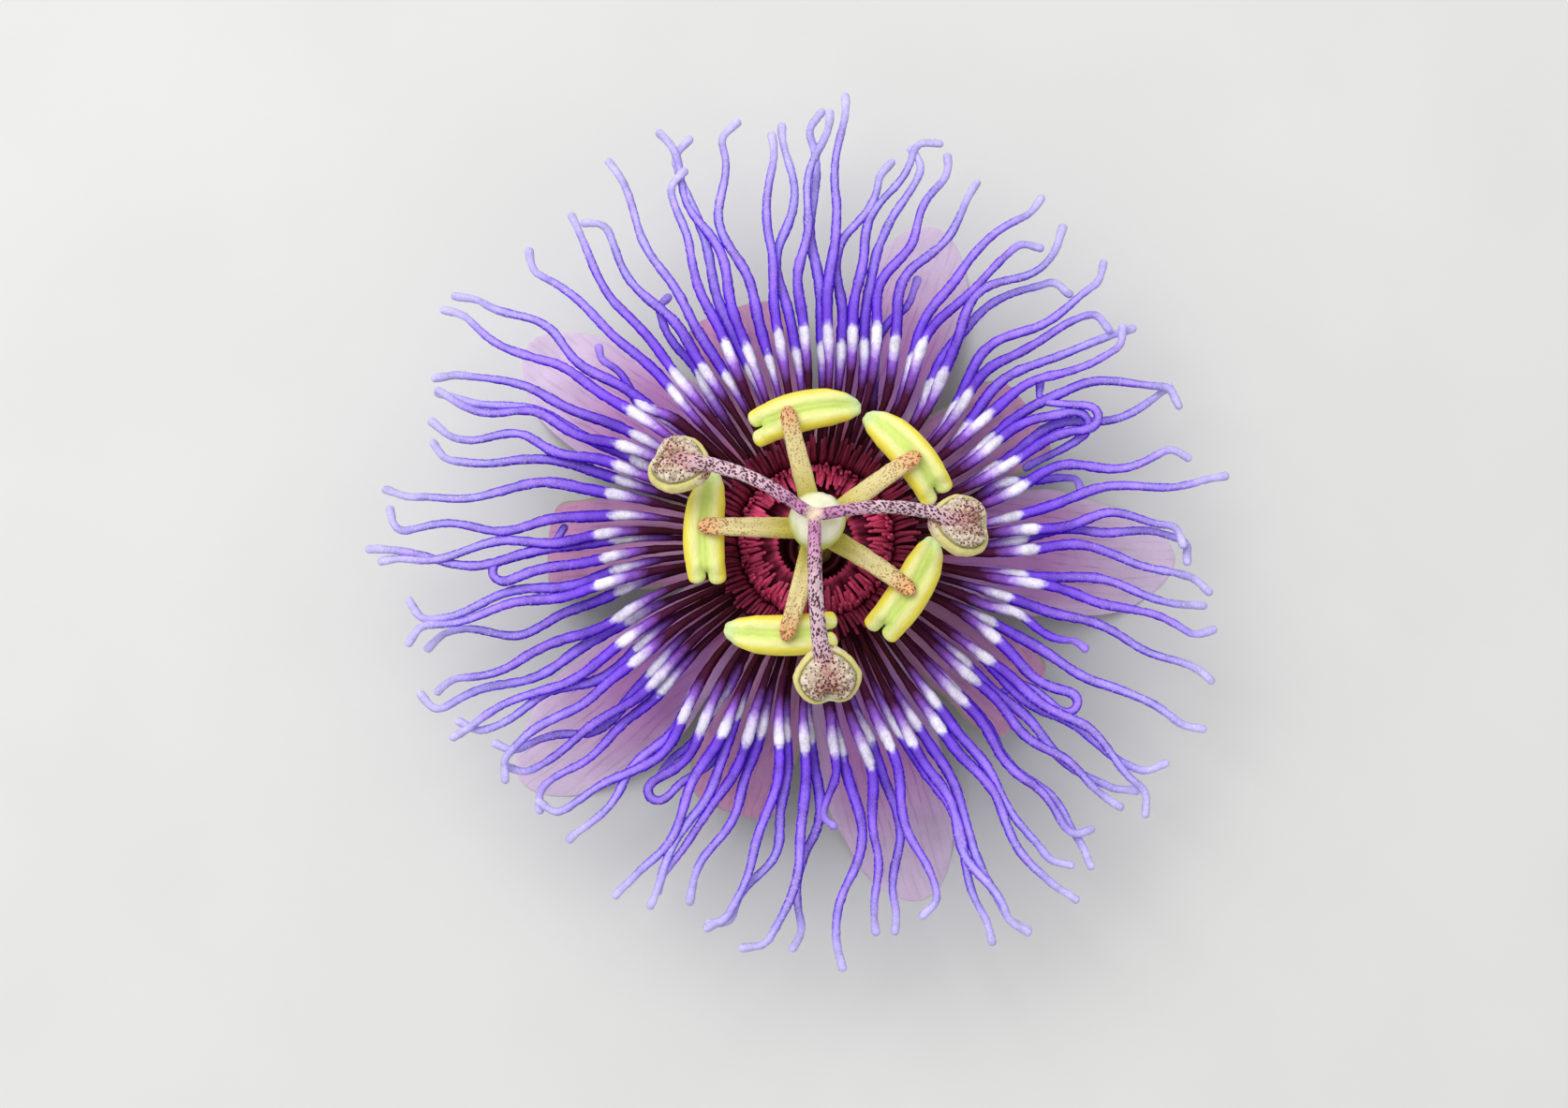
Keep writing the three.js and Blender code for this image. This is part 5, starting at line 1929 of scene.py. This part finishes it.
class FLOWER_OT_stamens(bpy.types.Operator):
    """Build the column, the five straps and their anthers"""

    bl_idname = "flower.stamens"
    bl_label = "Stamens"

    def execute(self, context):
        stamens = context.scene.flower_stamens
        straps = strap_finish(stamens)
        put("column_body", column_shell(), straps, "stamen_tissue", "androgynophore")
        put_each("stamen_{}_strap", strap_shells(), straps, "stamen_tissue", "stamen_filament_{}")
        put_each("anther_{}_lobes", anther_shells(), anther_finish(stamens), "anther", "anther_{}")
        return {"FINISHED"}


class FLOWER_OT_pistil(bpy.types.Operator):
    """Build the ovary, its three styles and their stigmas"""

    bl_idname = "flower.pistil"
    bl_label = "Pistil"

    def execute(self, context):
        pistil = context.scene.flower_pistil
        put("ovary_body", ovary_shell(), ovary_finish(pistil), "ovary", "ovary")
        put_each("style_{}_arm", style_shells(), style_finish(pistil), "style", "style_{}")
        put_each("stigma_{}_head", stigma_shells(), stigma_finish(pistil), "stigma", "stigma_{}")
        return {"FINISHED"}


RING_RIGHT_OF_MIDDLE = 3.9  # millimetres that the fringe's centre lies off the picture's middle
RING_ABOVE_MIDDLE = 1.66
FLOOR_GAP = 0.02  # millimetres from the floor up to the height that the petals' tips rest at
SKY_COLOUR = (0.97, 0.98, 1.0, 1)
KEY_PLACE = (-0.28, 0.3, 0.75)  # metres from the flower's foot to the key light
KEY_SIZE = 0.6


class FLOWER_OT_stage(bpy.types.Operator):
    """Make the pale floor, the soft lights and the camera that looks down at the flower"""

    bl_idname = "flower.stage"
    bl_label = "Floor, lights and camera"

    def execute(self, context):
        stage = context.scene.flower_stage
        self.lay_floor(stage)
        self.hang_lights(context.scene, stage)
        self.set_camera(context.scene, stage)
        return {"FINISHED"}

    def lay_floor(self, stage):
        half = stage.floor_size / 2
        mesh = bpy.data.meshes.new("Floor")
        below = -FLOOR_GAP * MM
        mesh.from_pydata(
            [(-half, -half, below), (half, -half, below), (half, half, below), (-half, half, below)],
            [],
            [(0, 1, 2, 3)],
        )
        floor = bpy.data.objects.new("Floor", mesh)
        bpy.context.scene.collection.objects.link(floor)
        material, tree, shader = finish_of("Pale_floor", 0.8, Specular_IOR_Level=0.2)
        place = node(tree, "NewGeometry").outputs["Position"]
        shade = mapped(tree, noise(tree, place, 30.0, 3.0), 0.3, 0.7, 0.97, 1.0)
        base = node(tree, "HueSaturation", {"Value": shade, "Color": opaque(stage.floor)})
        tree.links.new(base.outputs["Color"], shader.inputs["Base Color"])
        floor.data.materials.append(material)

    def hang_lights(self, scene, stage):
        world = bpy.data.worlds.new("Soft_sky")
        world.use_nodes = True
        background = world.node_tree.nodes["Background"]
        background.inputs["Color"].default_value = SKY_COLOUR
        background.inputs["Strength"].default_value = stage.fill
        scene.world = world
        light = bpy.data.lights.new("Key", "AREA")
        light.size = KEY_SIZE
        light.energy = stage.key_power
        key = bpy.data.objects.new("Key", light)
        key.location = KEY_PLACE
        key.rotation_mode = "QUATERNION"
        key.rotation_quaternion = (-key.location).to_track_quat("-Z", "Y")
        scene.collection.objects.link(key)
        scene.view_settings.view_transform = "Standard"

    def set_camera(self, scene, stage):
        camera = bpy.data.cameras.new("Camera")
        camera.lens = stage.lens
        camera.clip_start = 0.01
        eye = bpy.data.objects.new("Camera", camera)
        rise, run = math.sin(stage.elevation), math.cos(stage.elevation)
        back = Vector((0, -run, rise))
        upwards = Vector((0, rise, run))
        ring = Vector((AXIS[0], AXIS[1], CORONA_TOP_Z)) * MM
        target = ring - Vector((RING_RIGHT_OF_MIDDLE * MM, 0, 0)) - upwards * RING_ABOVE_MIDDLE * MM
        eye.location = target + back * stage.distance
        eye.rotation_mode = "QUATERNION"
        eye.rotation_quaternion = Matrix((Vector((1, 0, 0)), upwards, back)).transposed().to_quaternion()
        scene.collection.objects.link(eye)
        scene.camera = eye


OPERATORS = [
    FLOWER_OT_fringe,
    FLOWER_OT_inner_crown,
    FLOWER_OT_petals,
    FLOWER_OT_sepals,
    FLOWER_OT_cup,
    FLOWER_OT_stamens,
    FLOWER_OT_pistil,
    FLOWER_OT_stage,
]


class FLOWER_PT_sidebar(bpy.types.Panel):
    """Lists the flower's pieces in the order in which they are built"""

    bl_label = "Passion flower"
    bl_idname = "FLOWER_PT_sidebar"
    bl_space_type = "VIEW_3D"
    bl_region_type = "UI"
    bl_category = "Flower"

    def draw(self, context):
        for operator in OPERATORS:
            self.layout.operator(operator.bl_idname)


SETTINGS = {
    "flower_fringe": FringeSettings,
    "flower_tepals": TepalSettings,
    "flower_stamens": StamenSettings,
    "flower_pistil": PistilSettings,
    "flower_stage": StageSettings,
}


def register():
    """Registers the settings, the operators and the panel."""
    for made in [*SETTINGS.values(), *OPERATORS, FLOWER_PT_sidebar]:
        bpy.utils.register_class(made)
    for name, settings in SETTINGS.items():
        setattr(bpy.types.Scene, name, PointerProperty(type=settings))


def unregister():
    """Takes them all away again."""
    for name in SETTINGS:
        delattr(bpy.types.Scene, name)
    for made in reversed([*SETTINGS.values(), *OPERATORS, FLOWER_PT_sidebar]):
        bpy.utils.unregister_class(made)


def main():
    """Builds the flower and its stage."""
    register()
    bpy.ops.flower.fringe()
    bpy.ops.flower.inner_crown()
    bpy.ops.flower.petals()
    bpy.ops.flower.sepals()
    bpy.ops.flower.cup()
    bpy.ops.flower.stamens()
    bpy.ops.flower.pistil()
    bpy.ops.flower.stage()


if __name__ == "__main__":
    main()
